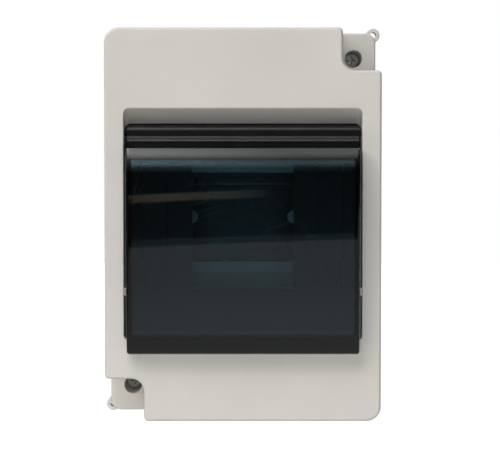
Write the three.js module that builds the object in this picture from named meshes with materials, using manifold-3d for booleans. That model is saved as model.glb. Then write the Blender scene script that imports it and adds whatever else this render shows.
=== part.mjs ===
// A small surface-mounted dc combiner box for DIN rail devices: a wall box, a front cover with two
// notched corners and sealing lugs, and a smoked door that swings up over the device window.
// The model is drawn as seen from the front, in millimetres: x to the right, y up and z out of the
// wall, with the wall at z = 0. The exported group turns that to +Z up with the front facing -Y.
import * as THREE from "three";
import { mergeVertices } from "three/addons/utils/BufferGeometryUtils.js";
import Module from "manifold-3d";

// Driving dimensions of the case
const CASE_WIDTH = 96;
const CASE_HEIGHT = 136.7;
const CASE_CORNER = 5;
const BASE_DEPTH = 32.5;
const BASE_WALL = 2;
const BASE_FLOOR = 2.2;
const COVER_DEPTH = 35.5;
const COVER_WALL = 2;
const COVER_FACE = 2.2;
const COVER_EDGE = 1.1;
const FRONT_Z = BASE_DEPTH + COVER_DEPTH;

// Clearances
const SEAT_GAP = 0.12;
const SLIDE_GAP = 0.2;
const PIVOT_GAP = 0.18;

// Notched corners, their floors and the screw wells in them
const NOTCH_WIDTH = 13.5;
const NOTCH_HEIGHT = 14.8;
const NOTCH_CORNER = 4.4;
const NOTCH_EDGE = 1.5;
const NOTCH_FLOOR = 16.5;
const NOTCH_OUTER_CORNER = 4;
const NOTCH_SET_BACK = 0.3;
const NOTCH_FLOOR_EDGE = 0.8;
const SCREW_FROM_NOTCH = 5.25;
const WELL_RADIUS = 3.1;
const WELL_WALL = 1.5;
const WELL_BOTTOM = 2;
const WELL_DEPTH = 11.5;

// Rim where the base enters the cover
const RIM_HEIGHT = 1.3;
const RIM_THICKNESS = 0.8;

// Sealing lugs
const LUG_RADIUS = 2.5;
const LUG_HOLE_RADIUS = 1.15;
const LUG_OFFSET = 2.1;
const LUG_THICKNESS = 1.6;

// DIN rail, after EN 60715 TH 35-7.5
const RAIL_HEIGHT = 35;
const RAIL_DEPTH = 7.5;
const RAIL_CHANNEL = 27;
const RAIL_GAUGE = 1;
const RAIL_LENGTH = 86;
const RAIL_SLOT_LENGTH = 15;
const RAIL_SLOT_WIDTH = 5.2;
const RAIL_SLOT_PITCH = 25;
const RAIL_SCREW_SPACING = 50;

// White support under the rail
const SUPPORT_HEIGHT = 45.6;
const SUPPORT_LENGTH = 90;
const SUPPORT_THICKNESS = 3;
const SUPPORT_BOSS_RADIUS = 4.2;
const RAIL_BED_BELOW_SEAM = 30.3;

// Modular devices, after DIN 43880
const MODULE_WIDTH = 17.75;
const MODULES_TOTAL = 4;
const MODULES_OPEN = 2;
const MODULE_NOSE_HEIGHT = 45.8;
const MODULE_SHOULDER = 44.6;
const TOGGLE_REACH = 62;

// Window plate and the blanks that fill its spare places
const PLATE_THICKNESS = 2;
const PLATE_OVERLAP = 4;
const STAKE_RADIUS = 0.8;
const STAKE_BOSS_RADIUS = 1.8;
const STAKE_FROM_POCKET = 2.3;
const STAKE_SPACING = 60;
const BLANK_FACE = 1.6;
const BLANK_LEG = 1.4;
const BLANK_DEPTH = 7;

// Door pocket in the cover
const POCKET_WIDTH = 82.6;
const POCKET_TOP = 40.4;
const POCKET_BOTTOM = -40;
const POCKET_CORNER = 1.8;
const POCKET_WALL = 1.8;
const SCOOP_DROP = 5;
const SCOOP_DEPTH = 8.2;
const SCOOP_SAG = 1.1;
const CATCH_HEIGHT = 2.7;
const CATCH_DEPTH = 3;
const CATCH_STAND = 0.7;
const CATCH_Y = -23.2;

// Door
const DOOR_WALL = 1.9;
const DOOR_SIDE_GAP = 1;
const DOOR_SIDE_LEAN = 0.5;
const DOOR_CLEARANCE = 0.7;
const DOOR_PIVOT_Y = 32.5;
const DOOR_PIVOT_BACK = 4.6;
const DOOR_KNUCKLE = 2.1;
const DOOR_REAR_BACK = 3.6;
const DOOR_LEDGE_Y = 30.6;
const DOOR_LEDGE_DROP = 1.3;
const DOOR_LEDGE_RISE = 1.4;
const DOOR_BROW_Y = 26.7;
const DOOR_BROW_ROUND = 14;
const DOOR_BROW_DROP = 2.7;
const DOOR_LIP_Y = -44.1;
const DOOR_LIP_BACK = 4.4;
const DOOR_LIP_OVERHANG = 0.8;
const DOOR_LIP_GAP = 0.5;
const DOOR_CROWN_Y = 6;
const TRUNNION_RADIUS = 1.4;
const TRUNNION_LENGTH = 2.2;

// Screws
const COVER_SCREW_HEAD_RADIUS = 2.95;
const COVER_SCREW_HEAD_HEIGHT = 2.3;
const COVER_SCREW_SHANK_RADIUS = 1.6;
const COVER_SCREW_LENGTH = 24;
const COVER_POST_RADIUS = 4.3;
const COVER_POST_RIB = 2;
const RAIL_SCREW_HEAD_RADIUS = 3.4;
const RAIL_SCREW_HEAD_HEIGHT = 2.2;
const RAIL_SCREW_SHANK_RADIUS = 1.5;
const DRIVER_SLOT_WIDTH = 0.8;
const DRIVER_SLOT_DEPTH = 1.3;

// Terminal bars and their holders
const BAR_LENGTH = 38;
const BAR_SIDE = 7;
const BAR_CLAMPS = 4;
const BAR_CLAMP_PITCH = 8.6;
const BAR_WIRE_RADIUS = 2.3;
const BAR_FROM_EDGE = 12.85;
const BAR_SHIFT = -5;
const HOLDER_LENGTH = 48;
const HOLDER_PEG_RADIUS = 1.2;
const HOLDER_PEG_FROM_END = 2.5;
const HOLDER_HEIGHT = 11;
const HOLDER_RISE = 6;
const TERMINAL_SCREW_RADIUS = 2;
const TERMINAL_SCREW_LENGTH = 4.6;
const TERMINAL_SCREW_STAND = 1.1;
const TERMINAL_TAP_BOTTOM = 1.2;

// Cable entries in the top and bottom walls, wall fixing holes
const ENTRY_CENTRE_LARGEST = 12.75;
const ENTRY_SIDE_LARGEST = 10.25;
const ENTRY_GROOVE_WIDTH = 0.7;
const ENTRY_GROOVE_DEPTH = 1.1;
const GROMMET_LIP = 1.8;
const GROMMET_LIP_THICKNESS = 1.2;
const GROMMET_MEMBRANE = 1;
const GROMMET_DOME = 3;
const FIXING_SLOT_LENGTH = 10;
const FIXING_SLOT_WIDTH = 5;
const FIXING_X = 30;
const FIXING_Y = 37;

const ROUND_SIDES = 24;
const SMALL_ROUND_SIDES = 16;
const CORNER_STEPS = 3;
const OVERCUT = 1;
const RIGHT_ANGLE = Math.PI / 2;

// Places worked out from the sizes above
const HALF_WIDTH = CASE_WIDTH / 2;
const HALF_HEIGHT = CASE_HEIGHT / 2;
const NOTCH_X = HALF_WIDTH - NOTCH_WIDTH;
const NOTCH_Y = HALF_HEIGHT - NOTCH_HEIGHT;
const NOTCH_FLOOR_Z = BASE_DEPTH + NOTCH_FLOOR;
const SCREW_X = NOTCH_X + SCREW_FROM_NOTCH;
const SCREW_Y = NOTCH_Y + SCREW_FROM_NOTCH;
const WELL_SEAT_Z = NOTCH_FLOOR_Z - WELL_DEPTH;
const POST_TOP_Z = WELL_SEAT_Z - WELL_BOTTOM - SEAT_GAP;
const ENTRY_Z = (BASE_FLOOR + BASE_DEPTH) / 2;
const ENTRY_ROOM = BASE_DEPTH - ENTRY_Z - 1;
const ENTRY_CENTRE_RADIUS = Math.min(ENTRY_CENTRE_LARGEST, ENTRY_ROOM);
const ENTRY_SIDE_RADIUS = Math.min(ENTRY_SIDE_LARGEST, ENTRY_ROOM - GROMMET_LIP);
const ENTRY_SIDE_X = SCREW_X - COVER_POST_RIB / 2 - ENTRY_SIDE_RADIUS - GROMMET_LIP - SEAT_GAP * 4;
const RAIL_BED_Z = BASE_DEPTH - RAIL_BED_BELOW_SEAM;
const SUPPORT_BACK_Z = RAIL_BED_Z + SEAT_GAP;
const SUPPORT_FRONT_Z = SUPPORT_BACK_Z + SUPPORT_THICKNESS;
const RAIL_BACK_Z = SUPPORT_FRONT_Z + SEAT_GAP;
const RAIL_FRONT_Z = RAIL_BACK_Z + RAIL_DEPTH;
const PLATE_BACK_Z = RAIL_FRONT_Z + MODULE_SHOULDER;
const PLATE_FRONT_Z = PLATE_BACK_Z + PLATE_THICKNESS;
const POCKET_REAR_Z = PLATE_FRONT_Z + SEAT_GAP;
const DOOR_CROWN_Z = RAIL_FRONT_Z + TOGGLE_REACH + DOOR_CLEARANCE + DOOR_WALL;
const DOOR_PIVOT_Z = FRONT_Z - DOOR_PIVOT_BACK;
const DOOR_REAR_Z = FRONT_Z - DOOR_REAR_BACK;
const DOOR_REAR_WIDTH = POCKET_WIDTH - 2 * DOOR_SIDE_GAP;
const DOOR_FACE_WIDTH = DOOR_REAR_WIDTH - 2 * DOOR_SIDE_LEAN;
const BAR_Y = HALF_HEIGHT - BAR_FROM_EDGE;
const WINDOW_WIDTH = MODULES_TOTAL * MODULE_WIDTH + 2 * SLIDE_GAP;

const wasm = await Module();
wasm.setup();

// A closed three.js geometry as a solid that can be joined and cut.
function solid(geometry) {
  const bare = geometry.index ? geometry.toNonIndexed() : geometry.clone();
  bare.deleteAttribute("normal");
  bare.deleteAttribute("uv");
  const merged = mergeVertices(bare, 1e-4);
  return new wasm.Manifold(
    new wasm.Mesh({
      numProp: 3,
      vertProperties: merged.attributes.position.array,
      triVerts: new Uint32Array(merged.index.array),
    }),
  );
}

// A flat outline raised from one height to another along z.
function prism(shape, fromZ, toZ) {
  const options = { depth: toZ - fromZ, bevelEnabled: false, curveSegments: CORNER_STEPS };
  return solid(new THREE.ExtrudeGeometry(shape, options).translate(0, 0, fromZ));
}

// A prism whose top edge is rounded over by edge.
function cushionPrism(shape, fromZ, toZ, edge) {
  const options = {
    depth: toZ - fromZ,
    bevelThickness: edge,
    bevelSize: edge,
    bevelOffset: -edge,
    bevelSegments: 3,
    curveSegments: CORNER_STEPS,
  };
  const raised = solid(new THREE.ExtrudeGeometry(shape, options).translate(0, 0, fromZ - edge));
  const room = 2 * Math.max(CASE_WIDTH, CASE_HEIGHT);
  return raised.intersect(box([-room, room], [-room, room], [fromZ, toZ + OVERCUT]));
}

// A box between two values on each axis.
function box([x0, x1], [y0, y1], [z0, z1]) {
  const geometry = new THREE.BoxGeometry(x1 - x0, y1 - y0, z1 - z0);
  return solid(geometry.translate((x0 + x1) / 2, (y0 + y1) / 2, (z0 + z1) / 2));
}

// A round bar along z.
function rod(radius, x, y, fromZ, toZ, sides = ROUND_SIDES) {
  const geometry = new THREE.CylinderGeometry(radius, radius, toZ - fromZ, sides);
  return solid(geometry.rotateX(RIGHT_ANGLE).translate(x, y, (fromZ + toZ) / 2));
}

// A round bar along x.
function crossRod(radius, fromX, toX, y, z, sides = ROUND_SIDES) {
  const geometry = new THREE.CylinderGeometry(radius, radius, toX - fromX, sides);
  return solid(geometry.rotateZ(RIGHT_ANGLE).translate((fromX + toX) / 2, y, z));
}

// A round bar along y.
function uprightRod(radius, x, fromY, toY, z, sides = ROUND_SIDES) {
  const geometry = new THREE.CylinderGeometry(radius, radius, toY - fromY, sides);
  return solid(geometry.translate(x, (fromY + toY) / 2, z));
}

// A profile in the y-z plane, given as [y, z] points or a shape in them, drawn out along x.
function sideProfile(shape, fromX, toX) {
  const options = { depth: toX - fromX, bevelEnabled: false, curveSegments: 2 * CORNER_STEPS };
  const geometry = new THREE.ExtrudeGeometry(shape, options);
  geometry.rotateX(RIGHT_ANGLE).rotateZ(RIGHT_ANGLE);
  return solid(geometry.translate(fromX, 0, 0));
}

function polygon(points) {
  return new THREE.Shape(points.map(([x, y]) => new THREE.Vector2(x, y)));
}

function roundedRectangle(x0, x1, y0, y1, radius) {
  const shape = new THREE.Shape();
  shape.absarc(x1 - radius, y0 + radius, radius, -RIGHT_ANGLE, 0, false);
  shape.absarc(x1 - radius, y1 - radius, radius, 0, RIGHT_ANGLE, false);
  shape.absarc(x0 + radius, y1 - radius, radius, RIGHT_ANGLE, 2 * RIGHT_ANGLE, false);
  shape.absarc(x0 + radius, y0 + radius, radius, 2 * RIGHT_ANGLE, 3 * RIGHT_ANGLE, false);
  return shape;
}

// A slot with round ends along x.
function slotShape(x, y, length, width) {
  return roundedRectangle(x - length / 2, x + length / 2, y - width / 2, y + width / 2, width / 2 - 1e-3);
}

// Both outlines of the case are the same turned half round, so each is drawn as two equal halves.
function halfTurnOutline(drawHalf) {
  const shape = new THREE.Shape();
  for (const [side, turn] of [[1, 0], [-1, Math.PI]]) {
    drawHalf((x, y, radius, from, to, clockwise = false) => {
      shape.absarc(side * x, side * y, radius, from + turn, to + turn, clockwise);
    });
  }
  return shape;
}

// The whole case, as it stands on the wall.
function caseOutline(inset) {
  return halfTurnOutline((arc) => {
    const plain = Math.max(CASE_CORNER - inset, 0.2);
    const notched = Math.max(NOTCH_OUTER_CORNER - inset, 0.2);
    const x = HALF_WIDTH - inset;
    const y = HALF_HEIGHT - inset;
    arc(x - plain, plain - y, plain, -RIGHT_ANGLE, 0);
    arc(x - notched, y - notched, notched, 0, RIGHT_ANGLE);
  });
}

// The raised part of the cover, with a corner left out at the upper right and the lower left.
function notchedOutline(inset) {
  return halfTurnOutline((arc) => {
    const plain = Math.max(CASE_CORNER - inset, 0.2);
    const edge = Math.max(NOTCH_EDGE - inset, 0.2);
    const inner = NOTCH_CORNER + inset;
    const x = HALF_WIDTH - inset;
    const y = HALF_HEIGHT - inset;
    const notchX = NOTCH_X - inset;
    const notchY = NOTCH_Y - inset;
    arc(x - plain, plain - y, plain, -RIGHT_ANGLE, 0);
    arc(x - edge, notchY - edge, edge, 0, RIGHT_ANGLE);
    arc(notchX + inner, notchY + inner, inner, -RIGHT_ANGLE, -2 * RIGHT_ANGLE, true);
    arc(notchX - edge, y - edge, edge, 0, RIGHT_ANGLE);
  });
}

// The lug's ring and hole stand just outside the rounded corner of the notch.
function lugPlace(side) {
  const out = (NOTCH_OUTER_CORNER + LUG_OFFSET) * Math.SQRT1_2;
  return [
    side * (HALF_WIDTH - NOTCH_OUTER_CORNER + out),
    side * (HALF_HEIGHT - NOTCH_OUTER_CORNER + out),
  ];
}

// Adds a sealing lug at each notched corner of a shell, and clears its hole.
function withLugs(shell, fromZ, toZ) {
  let made = shell;
  for (const side of [1, -1]) {
    const [x, y] = lugPlace(side);
    made = made.add(rod(LUG_RADIUS, x, y, fromZ, toZ));
    made = made.subtract(rod(LUG_HOLE_RADIUS, x, y, fromZ - OVERCUT, toZ + OVERCUT, SMALL_ROUND_SIDES));
  }
  return made;
}

// A driver cross cut into a screw head whose top is at z.
function driverCross(x, y, z, reach) {
  const half = DRIVER_SLOT_WIDTH / 2;
  const depth = [z - DRIVER_SLOT_DEPTH, z + OVERCUT];
  const across = box([x - reach, x + reach], [y - half, y + half], depth);
  return across.add(box([x - half, x + half], [y - reach, y + reach], depth));
}

// A screw standing along z: a domed pan head from z up, and a pointed shank below.
function screw(x, y, z, headRadius, headHeight, shankRadius, length) {
  const point = shankRadius;
  const profile = [
    new THREE.Vector2(0, -length),
    new THREE.Vector2(shankRadius, point - length),
    new THREE.Vector2(shankRadius, 0),
    new THREE.Vector2(headRadius, 0),
    new THREE.Vector2(headRadius, headHeight * 0.55),
    new THREE.Vector2(headRadius * 0.78, headHeight * 0.9),
    new THREE.Vector2(headRadius * 0.4, headHeight),
    new THREE.Vector2(0, headHeight),
  ];
  const turned = new THREE.LatheGeometry(profile, ROUND_SIDES).rotateX(RIGHT_ANGLE);
  return solid(turned.translate(x, y, z)).subtract(driverCross(x, y, z + headHeight, headRadius * 0.52));
}

function cableEntries() {
  return [
    { x: 0, radius: ENTRY_CENTRE_RADIUS },
    { x: -ENTRY_SIDE_X, radius: ENTRY_SIDE_RADIUS },
    { x: ENTRY_SIDE_X, radius: ENTRY_SIDE_RADIUS },
  ];
}

// The ring groove that lets a knock-out be punched from an end wall.
function knockoutGroove(x, radius, side) {
  const outside = side * HALF_HEIGHT;
  const [from, to] = [outside - side * ENTRY_GROOVE_DEPTH, outside + side * OVERCUT].sort((a, b) => a - b);
  const ring = uprightRod(radius, x, from, to, ENTRY_Z);
  const core = uprightRod(radius - ENTRY_GROOVE_WIDTH, x, from - OVERCUT, to + OVERCUT, ENTRY_Z);
  return ring.subtract(core);
}

// The wall box: a tray with posts for the cover screws, bosses for the rail and cable entries.
function makeBase() {
  const inside = caseOutline(BASE_WALL);
  let base = prism(caseOutline(0), 0, BASE_DEPTH - SEAT_GAP);
  base = base.subtract(prism(inside, BASE_FLOOR, BASE_DEPTH + OVERCUT));
  const rimOuter = prism(caseOutline(BASE_WALL - RIM_THICKNESS), BASE_DEPTH - OVERCUT, BASE_DEPTH + RIM_HEIGHT);
  const rimRoom = prism(inside, BASE_DEPTH - 2 * OVERCUT, BASE_DEPTH + RIM_HEIGHT + OVERCUT);
  base = base.add(rimOuter.subtract(rimRoom));
  for (const side of [1, -1]) {
    const x = side * SCREW_X;
    const y = side * SCREW_Y;
    const toWallX = [x, side * (HALF_WIDTH - BASE_WALL / 2)].sort((a, b) => a - b);
    const toWallY = [y, side * (HALF_HEIGHT - BASE_WALL / 2)].sort((a, b) => a - b);
    base = base.add(rod(COVER_POST_RADIUS, x, y, BASE_FLOOR / 2, POST_TOP_Z));
    const rib = COVER_POST_RIB / 2;
    const ribTop = Math.min(POST_TOP_Z, BASE_DEPTH) - 1;
    base = base.add(box(toWallX, [y - rib, y + rib], [BASE_FLOOR / 2, ribTop]));
    base = base.add(box([x - rib, x + rib], toWallY, [BASE_FLOOR / 2, ribTop]));
    const pilot = COVER_SCREW_SHANK_RADIUS + PIVOT_GAP;
    const pilotEnd = WELL_SEAT_Z - COVER_SCREW_LENGTH - OVERCUT;
    base = base.subtract(rod(pilot, x, y, pilotEnd, POST_TOP_Z + OVERCUT, SMALL_ROUND_SIDES));
  }
  const bedX = SUPPORT_LENGTH / 2;
  const bedY = SUPPORT_HEIGHT / 2;
  base = base.add(box([-bedX, bedX], [-bedY, bedY], [BASE_FLOOR / 2, RAIL_BED_Z - SEAT_GAP / 4]));
  for (const side of [1, -1]) {
    const x = (side * RAIL_SCREW_SPACING) / 2;
    const top = SUPPORT_FRONT_Z - SEAT_GAP;
    base = base.add(rod(SUPPORT_BOSS_RADIUS, x, 0, BASE_FLOOR / 2, top));
    const pilot = RAIL_SCREW_SHANK_RADIUS + PIVOT_GAP;
    base = base.subtract(rod(pilot, x, 0, BASE_FLOOR / 4, top + OVERCUT, SMALL_ROUND_SIDES));
  }
  for (const side of [1, -1]) {
    for (const { x, radius } of cableEntries()) {
      const open = side < 0 && x !== 0;
      const hole = uprightRod(radius, x, -HALF_HEIGHT - OVERCUT, BASE_WALL + OVERCUT - HALF_HEIGHT, ENTRY_Z);
      base = base.subtract(open ? hole : knockoutGroove(x, radius, side));
    }
    for (const flip of [1, -1]) {
      const slot = slotShape(side * FIXING_X, flip * FIXING_Y, FIXING_SLOT_LENGTH, FIXING_SLOT_WIDTH);
      base = base.subtract(prism(slot, -OVERCUT, BASE_FLOOR + OVERCUT));
    }
    base = base.add(holderPegs(side));
  }
  return withLugs(base, BASE_DEPTH - SEAT_GAP - LUG_THICKNESS, BASE_DEPTH - SEAT_GAP);
}

// Two pegs on the floor that a terminal bar's holder is pushed over.
function holderPegs(side) {
  const x = side * BAR_SHIFT;
  const y = side * BAR_Y;
  const reach = HOLDER_LENGTH / 2 - HOLDER_PEG_FROM_END;
  const top = BASE_FLOOR + HOLDER_RISE * 0.6;
  const left = rod(HOLDER_PEG_RADIUS, x - reach, y, BASE_FLOOR / 2, top, SMALL_ROUND_SIDES);
  return left.add(rod(HOLDER_PEG_RADIUS, x + reach, y, BASE_FLOOR / 2, top, SMALL_ROUND_SIDES));
}

// The hollow that the door closes into: a pocket with a sloping scoop above the hinge.
function pocketHollow() {
  const half = POCKET_WIDTH / 2;
  const opening = roundedRectangle(-half, half, POCKET_BOTTOM, POCKET_TOP, POCKET_CORNER);
  const ramp = new THREE.Shape();
  ramp.moveTo(POCKET_TOP - SCOOP_DROP, PLATE_BACK_Z - OVERCUT);
  ramp.lineTo(POCKET_TOP + OVERCUT, PLATE_BACK_Z - OVERCUT);
  ramp.lineTo(POCKET_TOP + OVERCUT, FRONT_Z + OVERCUT);
  ramp.lineTo(POCKET_TOP, FRONT_Z);
  const middleY = POCKET_TOP - SCOOP_DROP / 2 + SCOOP_SAG;
  const middleZ = FRONT_Z - SCOOP_DEPTH / 2 - SCOOP_SAG;
  ramp.quadraticCurveTo(middleY, middleZ, POCKET_TOP - SCOOP_DROP, FRONT_Z - SCOOP_DEPTH);
  const room = prism(opening, PLATE_BACK_Z, FRONT_Z + OVERCUT / 2);
  return room.subtract(sideProfile(ramp, -CASE_WIDTH, CASE_WIDTH));
}

function stakePlaces() {
  const x = POCKET_WIDTH / 2 + STAKE_FROM_POCKET;
  const y = STAKE_SPACING / 2;
  return [[x, y], [x, -y], [-x, y], [-x, -y]];
}

// The cover: a notched shell with the door pocket, the screw wells and the sealing lugs.
function makeCover() {
  let cover = cushionPrism(notchedOutline(0), BASE_DEPTH, FRONT_Z, COVER_EDGE);
  cover = cover.add(prism(caseOutline(0), BASE_DEPTH, BASE_DEPTH + LUG_THICKNESS));
  const floorOutline = caseOutline(NOTCH_SET_BACK);
  cover = cover.add(cushionPrism(floorOutline, BASE_DEPTH, NOTCH_FLOOR_Z, NOTCH_FLOOR_EDGE));
  const faceBack = FRONT_Z - COVER_FACE;
  cover = cover.subtract(prism(notchedOutline(COVER_WALL), BASE_DEPTH - OVERCUT, faceBack));
  const floorBack = NOTCH_FLOOR_Z - COVER_WALL;
  cover = cover.subtract(prism(caseOutline(COVER_WALL), BASE_DEPTH - OVERCUT, floorBack));
  const rebate = COVER_WALL - RIM_THICKNESS - SLIDE_GAP;
  const rebateTop = BASE_DEPTH + RIM_HEIGHT + SLIDE_GAP;
  const rebateRoom = prism(caseOutline(rebate), BASE_DEPTH - OVERCUT, rebateTop);
  const outside = POCKET_WIDTH / 2 + POCKET_WALL;
  const bottom = POCKET_BOTTOM - POCKET_WALL;
  const top = POCKET_TOP + POCKET_WALL;
  const frame = roundedRectangle(-outside, outside, bottom, top, POCKET_CORNER + POCKET_WALL);
  cover = cover.subtract(rebateRoom).add(prism(frame, POCKET_REAR_Z, FRONT_Z - COVER_FACE / 2));
  for (const [x, y] of stakePlaces()) {
    cover = cover.add(rod(STAKE_BOSS_RADIUS, x, y, POCKET_REAR_Z, FRONT_Z - COVER_FACE / 2));
    cover = cover.add(rod(STAKE_RADIUS, x, y, PLATE_BACK_Z - 0.6, FRONT_Z - COVER_FACE, SMALL_ROUND_SIDES));
  }
  cover = cover.subtract(pocketHollow());
  for (const side of [1, -1]) {
    cover = withWell(cover, side * SCREW_X, side * SCREW_Y);
    const wall = (side * POCKET_WIDTH) / 2;
    const inward = [wall + side * 0.5, wall - side * CATCH_STAND].sort((a, b) => a - b);
    const catchY = [CATCH_Y - CATCH_HEIGHT / 2, CATCH_Y + CATCH_HEIGHT / 2];
    cover = cover.add(box(inward, catchY, [FRONT_Z - 1 - CATCH_DEPTH, FRONT_Z - 1]));
    const socket = [wall - side, wall + side * (POCKET_WALL + OVERCUT)].sort((a, b) => a - b);
    const radius = TRUNNION_RADIUS + PIVOT_GAP;
    cover = cover.subtract(crossRod(radius, ...socket, DOOR_PIVOT_Y, DOOR_PIVOT_Z));
  }
  return withLugs(cover, BASE_DEPTH, BASE_DEPTH + LUG_THICKNESS);
}

// A deep well for a cover screw, hanging from the floor of a notch.
function withWell(cover, x, y) {
  const outer = rod(WELL_RADIUS + WELL_WALL, x, y, WELL_SEAT_Z - WELL_BOTTOM, NOTCH_FLOOR_Z - 1);
  const bore = rod(WELL_RADIUS, x, y, WELL_SEAT_Z, NOTCH_FLOOR_Z + OVERCUT);
  const hole = COVER_SCREW_SHANK_RADIUS + PIVOT_GAP;
  const shaft = rod(hole, x, y, WELL_SEAT_Z - WELL_BOTTOM - OVERCUT, WELL_SEAT_Z + OVERCUT, SMALL_ROUND_SIDES);
  return cover.add(outer).subtract(bore).subtract(shaft);
}

// The black plate behind the door, with a window four modules wide.
function makeWindowPlate() {
  const half = POCKET_WIDTH / 2 + PLATE_OVERLAP;
  const tall = roundedRectangle(-half, half, POCKET_BOTTOM - PLATE_OVERLAP, POCKET_TOP, 2);
  let plate = prism(tall, PLATE_BACK_Z, PLATE_FRONT_Z);
  const halfWindow = WINDOW_WIDTH / 2;
  const halfNose = MODULE_NOSE_HEIGHT / 2;
  const window = roundedRectangle(-halfWindow, halfWindow, -halfNose, halfNose, 0.6);
  plate = plate.subtract(prism(window, PLATE_BACK_Z - OVERCUT, PLATE_FRONT_Z + OVERCUT));
  for (const [x, y] of stakePlaces()) {
    const hole = rod(STAKE_RADIUS + SLIDE_GAP, x, y, PLATE_BACK_Z - 1, PLATE_FRONT_Z + 1, SMALL_ROUND_SIDES);
    plate = plate.subtract(hole);
  }
  return plate;
}

// A push-in blank that fills one module place of the window: a face with a leg above and below.
function makeBlank(centreX) {
  const half = MODULE_WIDTH / 2 - SLIDE_GAP / 2;
  const tall = MODULE_NOSE_HEIGHT / 2 - SLIDE_GAP;
  const span = [centreX - half, centreX + half];
  const face = box(span, [-tall, tall], [PLATE_FRONT_Z - BLANK_FACE, PLATE_FRONT_Z]);
  const legZ = [PLATE_FRONT_Z - BLANK_DEPTH, PLATE_FRONT_Z - BLANK_FACE / 2];
  const upper = box(span, [tall - BLANK_LEG, tall], legZ);
  return face.add(upper).add(box(span, [-tall, BLANK_LEG - tall], legZ));
}

// The top-hat section: flanges in front, channel web at the back.
function makeRail() {
  const top = RAIL_HEIGHT / 2;
  const channel = RAIL_CHANNEL / 2;
  const inner = channel - RAIL_GAUGE;
  const section = polygon([
    [-top, RAIL_FRONT_Z],
    [-top, RAIL_FRONT_Z - RAIL_GAUGE],
    [-channel, RAIL_FRONT_Z - RAIL_GAUGE],
    [-channel, RAIL_BACK_Z],
    [channel, RAIL_BACK_Z],
    [channel, RAIL_FRONT_Z - RAIL_GAUGE],
    [top, RAIL_FRONT_Z - RAIL_GAUGE],
    [top, RAIL_FRONT_Z],
    [inner, RAIL_FRONT_Z],
    [inner, RAIL_BACK_Z + RAIL_GAUGE],
    [-inner, RAIL_BACK_Z + RAIL_GAUGE],
    [-inner, RAIL_FRONT_Z],
  ]);
  let rail = sideProfile(section, -RAIL_LENGTH / 2, RAIL_LENGTH / 2);
  for (const step of [-1, 1]) {
    const slot = slotShape(step * RAIL_SLOT_PITCH, 0, RAIL_SLOT_LENGTH, RAIL_SLOT_WIDTH);
    rail = rail.subtract(prism(slot, RAIL_BACK_Z - OVERCUT, RAIL_BACK_Z + RAIL_GAUGE + OVERCUT));
  }
  return rail;
}

// The white slab under the rail, with holes for the base's two bosses.
function makeRailSupport() {
  const long = SUPPORT_LENGTH / 2;
  const tall = SUPPORT_HEIGHT / 2;
  let support = prism(roundedRectangle(-long, long, -tall, tall, 1.5), SUPPORT_BACK_Z, SUPPORT_FRONT_Z);
  for (const side of [1, -1]) {
    const x = (side * RAIL_SCREW_SPACING) / 2;
    const radius = SUPPORT_BOSS_RADIUS + SLIDE_GAP;
    support = support.subtract(rod(radius, x, 0, SUPPORT_BACK_Z - 1, SUPPORT_FRONT_Z + 1));
  }
  return support;
}

function makeRailScrew(side) {
  const seat = RAIL_BACK_Z + RAIL_GAUGE + SEAT_GAP;
  const length = seat - BASE_FLOOR / 4 - 0.5;
  const x = (side * RAIL_SCREW_SPACING) / 2;
  const sizes = [RAIL_SCREW_HEAD_RADIUS, RAIL_SCREW_HEAD_HEIGHT, RAIL_SCREW_SHANK_RADIUS, length];
  return screw(x, 0, seat, ...sizes);
}

function makeCoverScrew(side) {
  const seat = WELL_SEAT_Z + SEAT_GAP;
  const sizes = [
    COVER_SCREW_HEAD_RADIUS,
    COVER_SCREW_HEAD_HEIGHT,
    COVER_SCREW_SHANK_RADIUS,
    COVER_SCREW_LENGTH,
  ];
  return screw(side * SCREW_X, side * SCREW_Y, seat, ...sizes);
}

// The outer line of the door from the side, from the knuckle over the ledge and brow to the lip.
function doorProfile(inset) {
  const crown = DOOR_CROWN_Z - inset;
  const lip = DOOR_CROWN_Z - DOOR_LIP_BACK - inset;
  const browTop = DOOR_BROW_Y - inset;
  const ledgeZ = DOOR_PIVOT_Z + DOOR_KNUCKLE - inset;
  const rear = inset ? DOOR_REAR_Z - OVERCUT : DOOR_REAR_Z;
  const bottom = inset ? POCKET_BOTTOM + DOOR_LIP_OVERHANG + inset : DOOR_LIP_Y;
  const shape = new THREE.Shape();
  shape.moveTo(DOOR_PIVOT_Y - inset, rear);
  if (!inset) {
    shape.lineTo(DOOR_PIVOT_Y, DOOR_PIVOT_Z - DOOR_KNUCKLE);
    shape.absarc(DOOR_PIVOT_Y, DOOR_PIVOT_Z, DOOR_KNUCKLE, -RIGHT_ANGLE, RIGHT_ANGLE, false);
  }
  shape.lineTo(DOOR_LEDGE_Y - inset, ledgeZ);
  shape.lineTo(DOOR_LEDGE_Y - DOOR_LEDGE_DROP - inset, ledgeZ + DOOR_LEDGE_RISE);
  shape.lineTo(browTop, ledgeZ + DOOR_LEDGE_RISE);
  shape.lineTo(browTop, crown - DOOR_BROW_DROP);
  const browEndY = DOOR_BROW_Y - DOOR_BROW_ROUND * 0.6;
  shape.quadraticCurveTo(browTop - 3.4, crown - 0.2, browEndY, crown);
  shape.quadraticCurveTo(DOOR_CROWN_Y - 24, crown - 0.1, inset ? bottom : DOOR_LIP_Y, lip);
  if (inset) {
    shape.lineTo(bottom, rear);
  } else {
    shape.lineTo(DOOR_LIP_Y, FRONT_Z + DOOR_LIP_GAP);
    shape.lineTo(POCKET_BOTTOM + DOOR_LIP_OVERHANG, FRONT_Z + DOOR_LIP_GAP);
    shape.lineTo(POCKET_BOTTOM + DOOR_LIP_OVERHANG, rear);
  }
  return shape;
}

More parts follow.
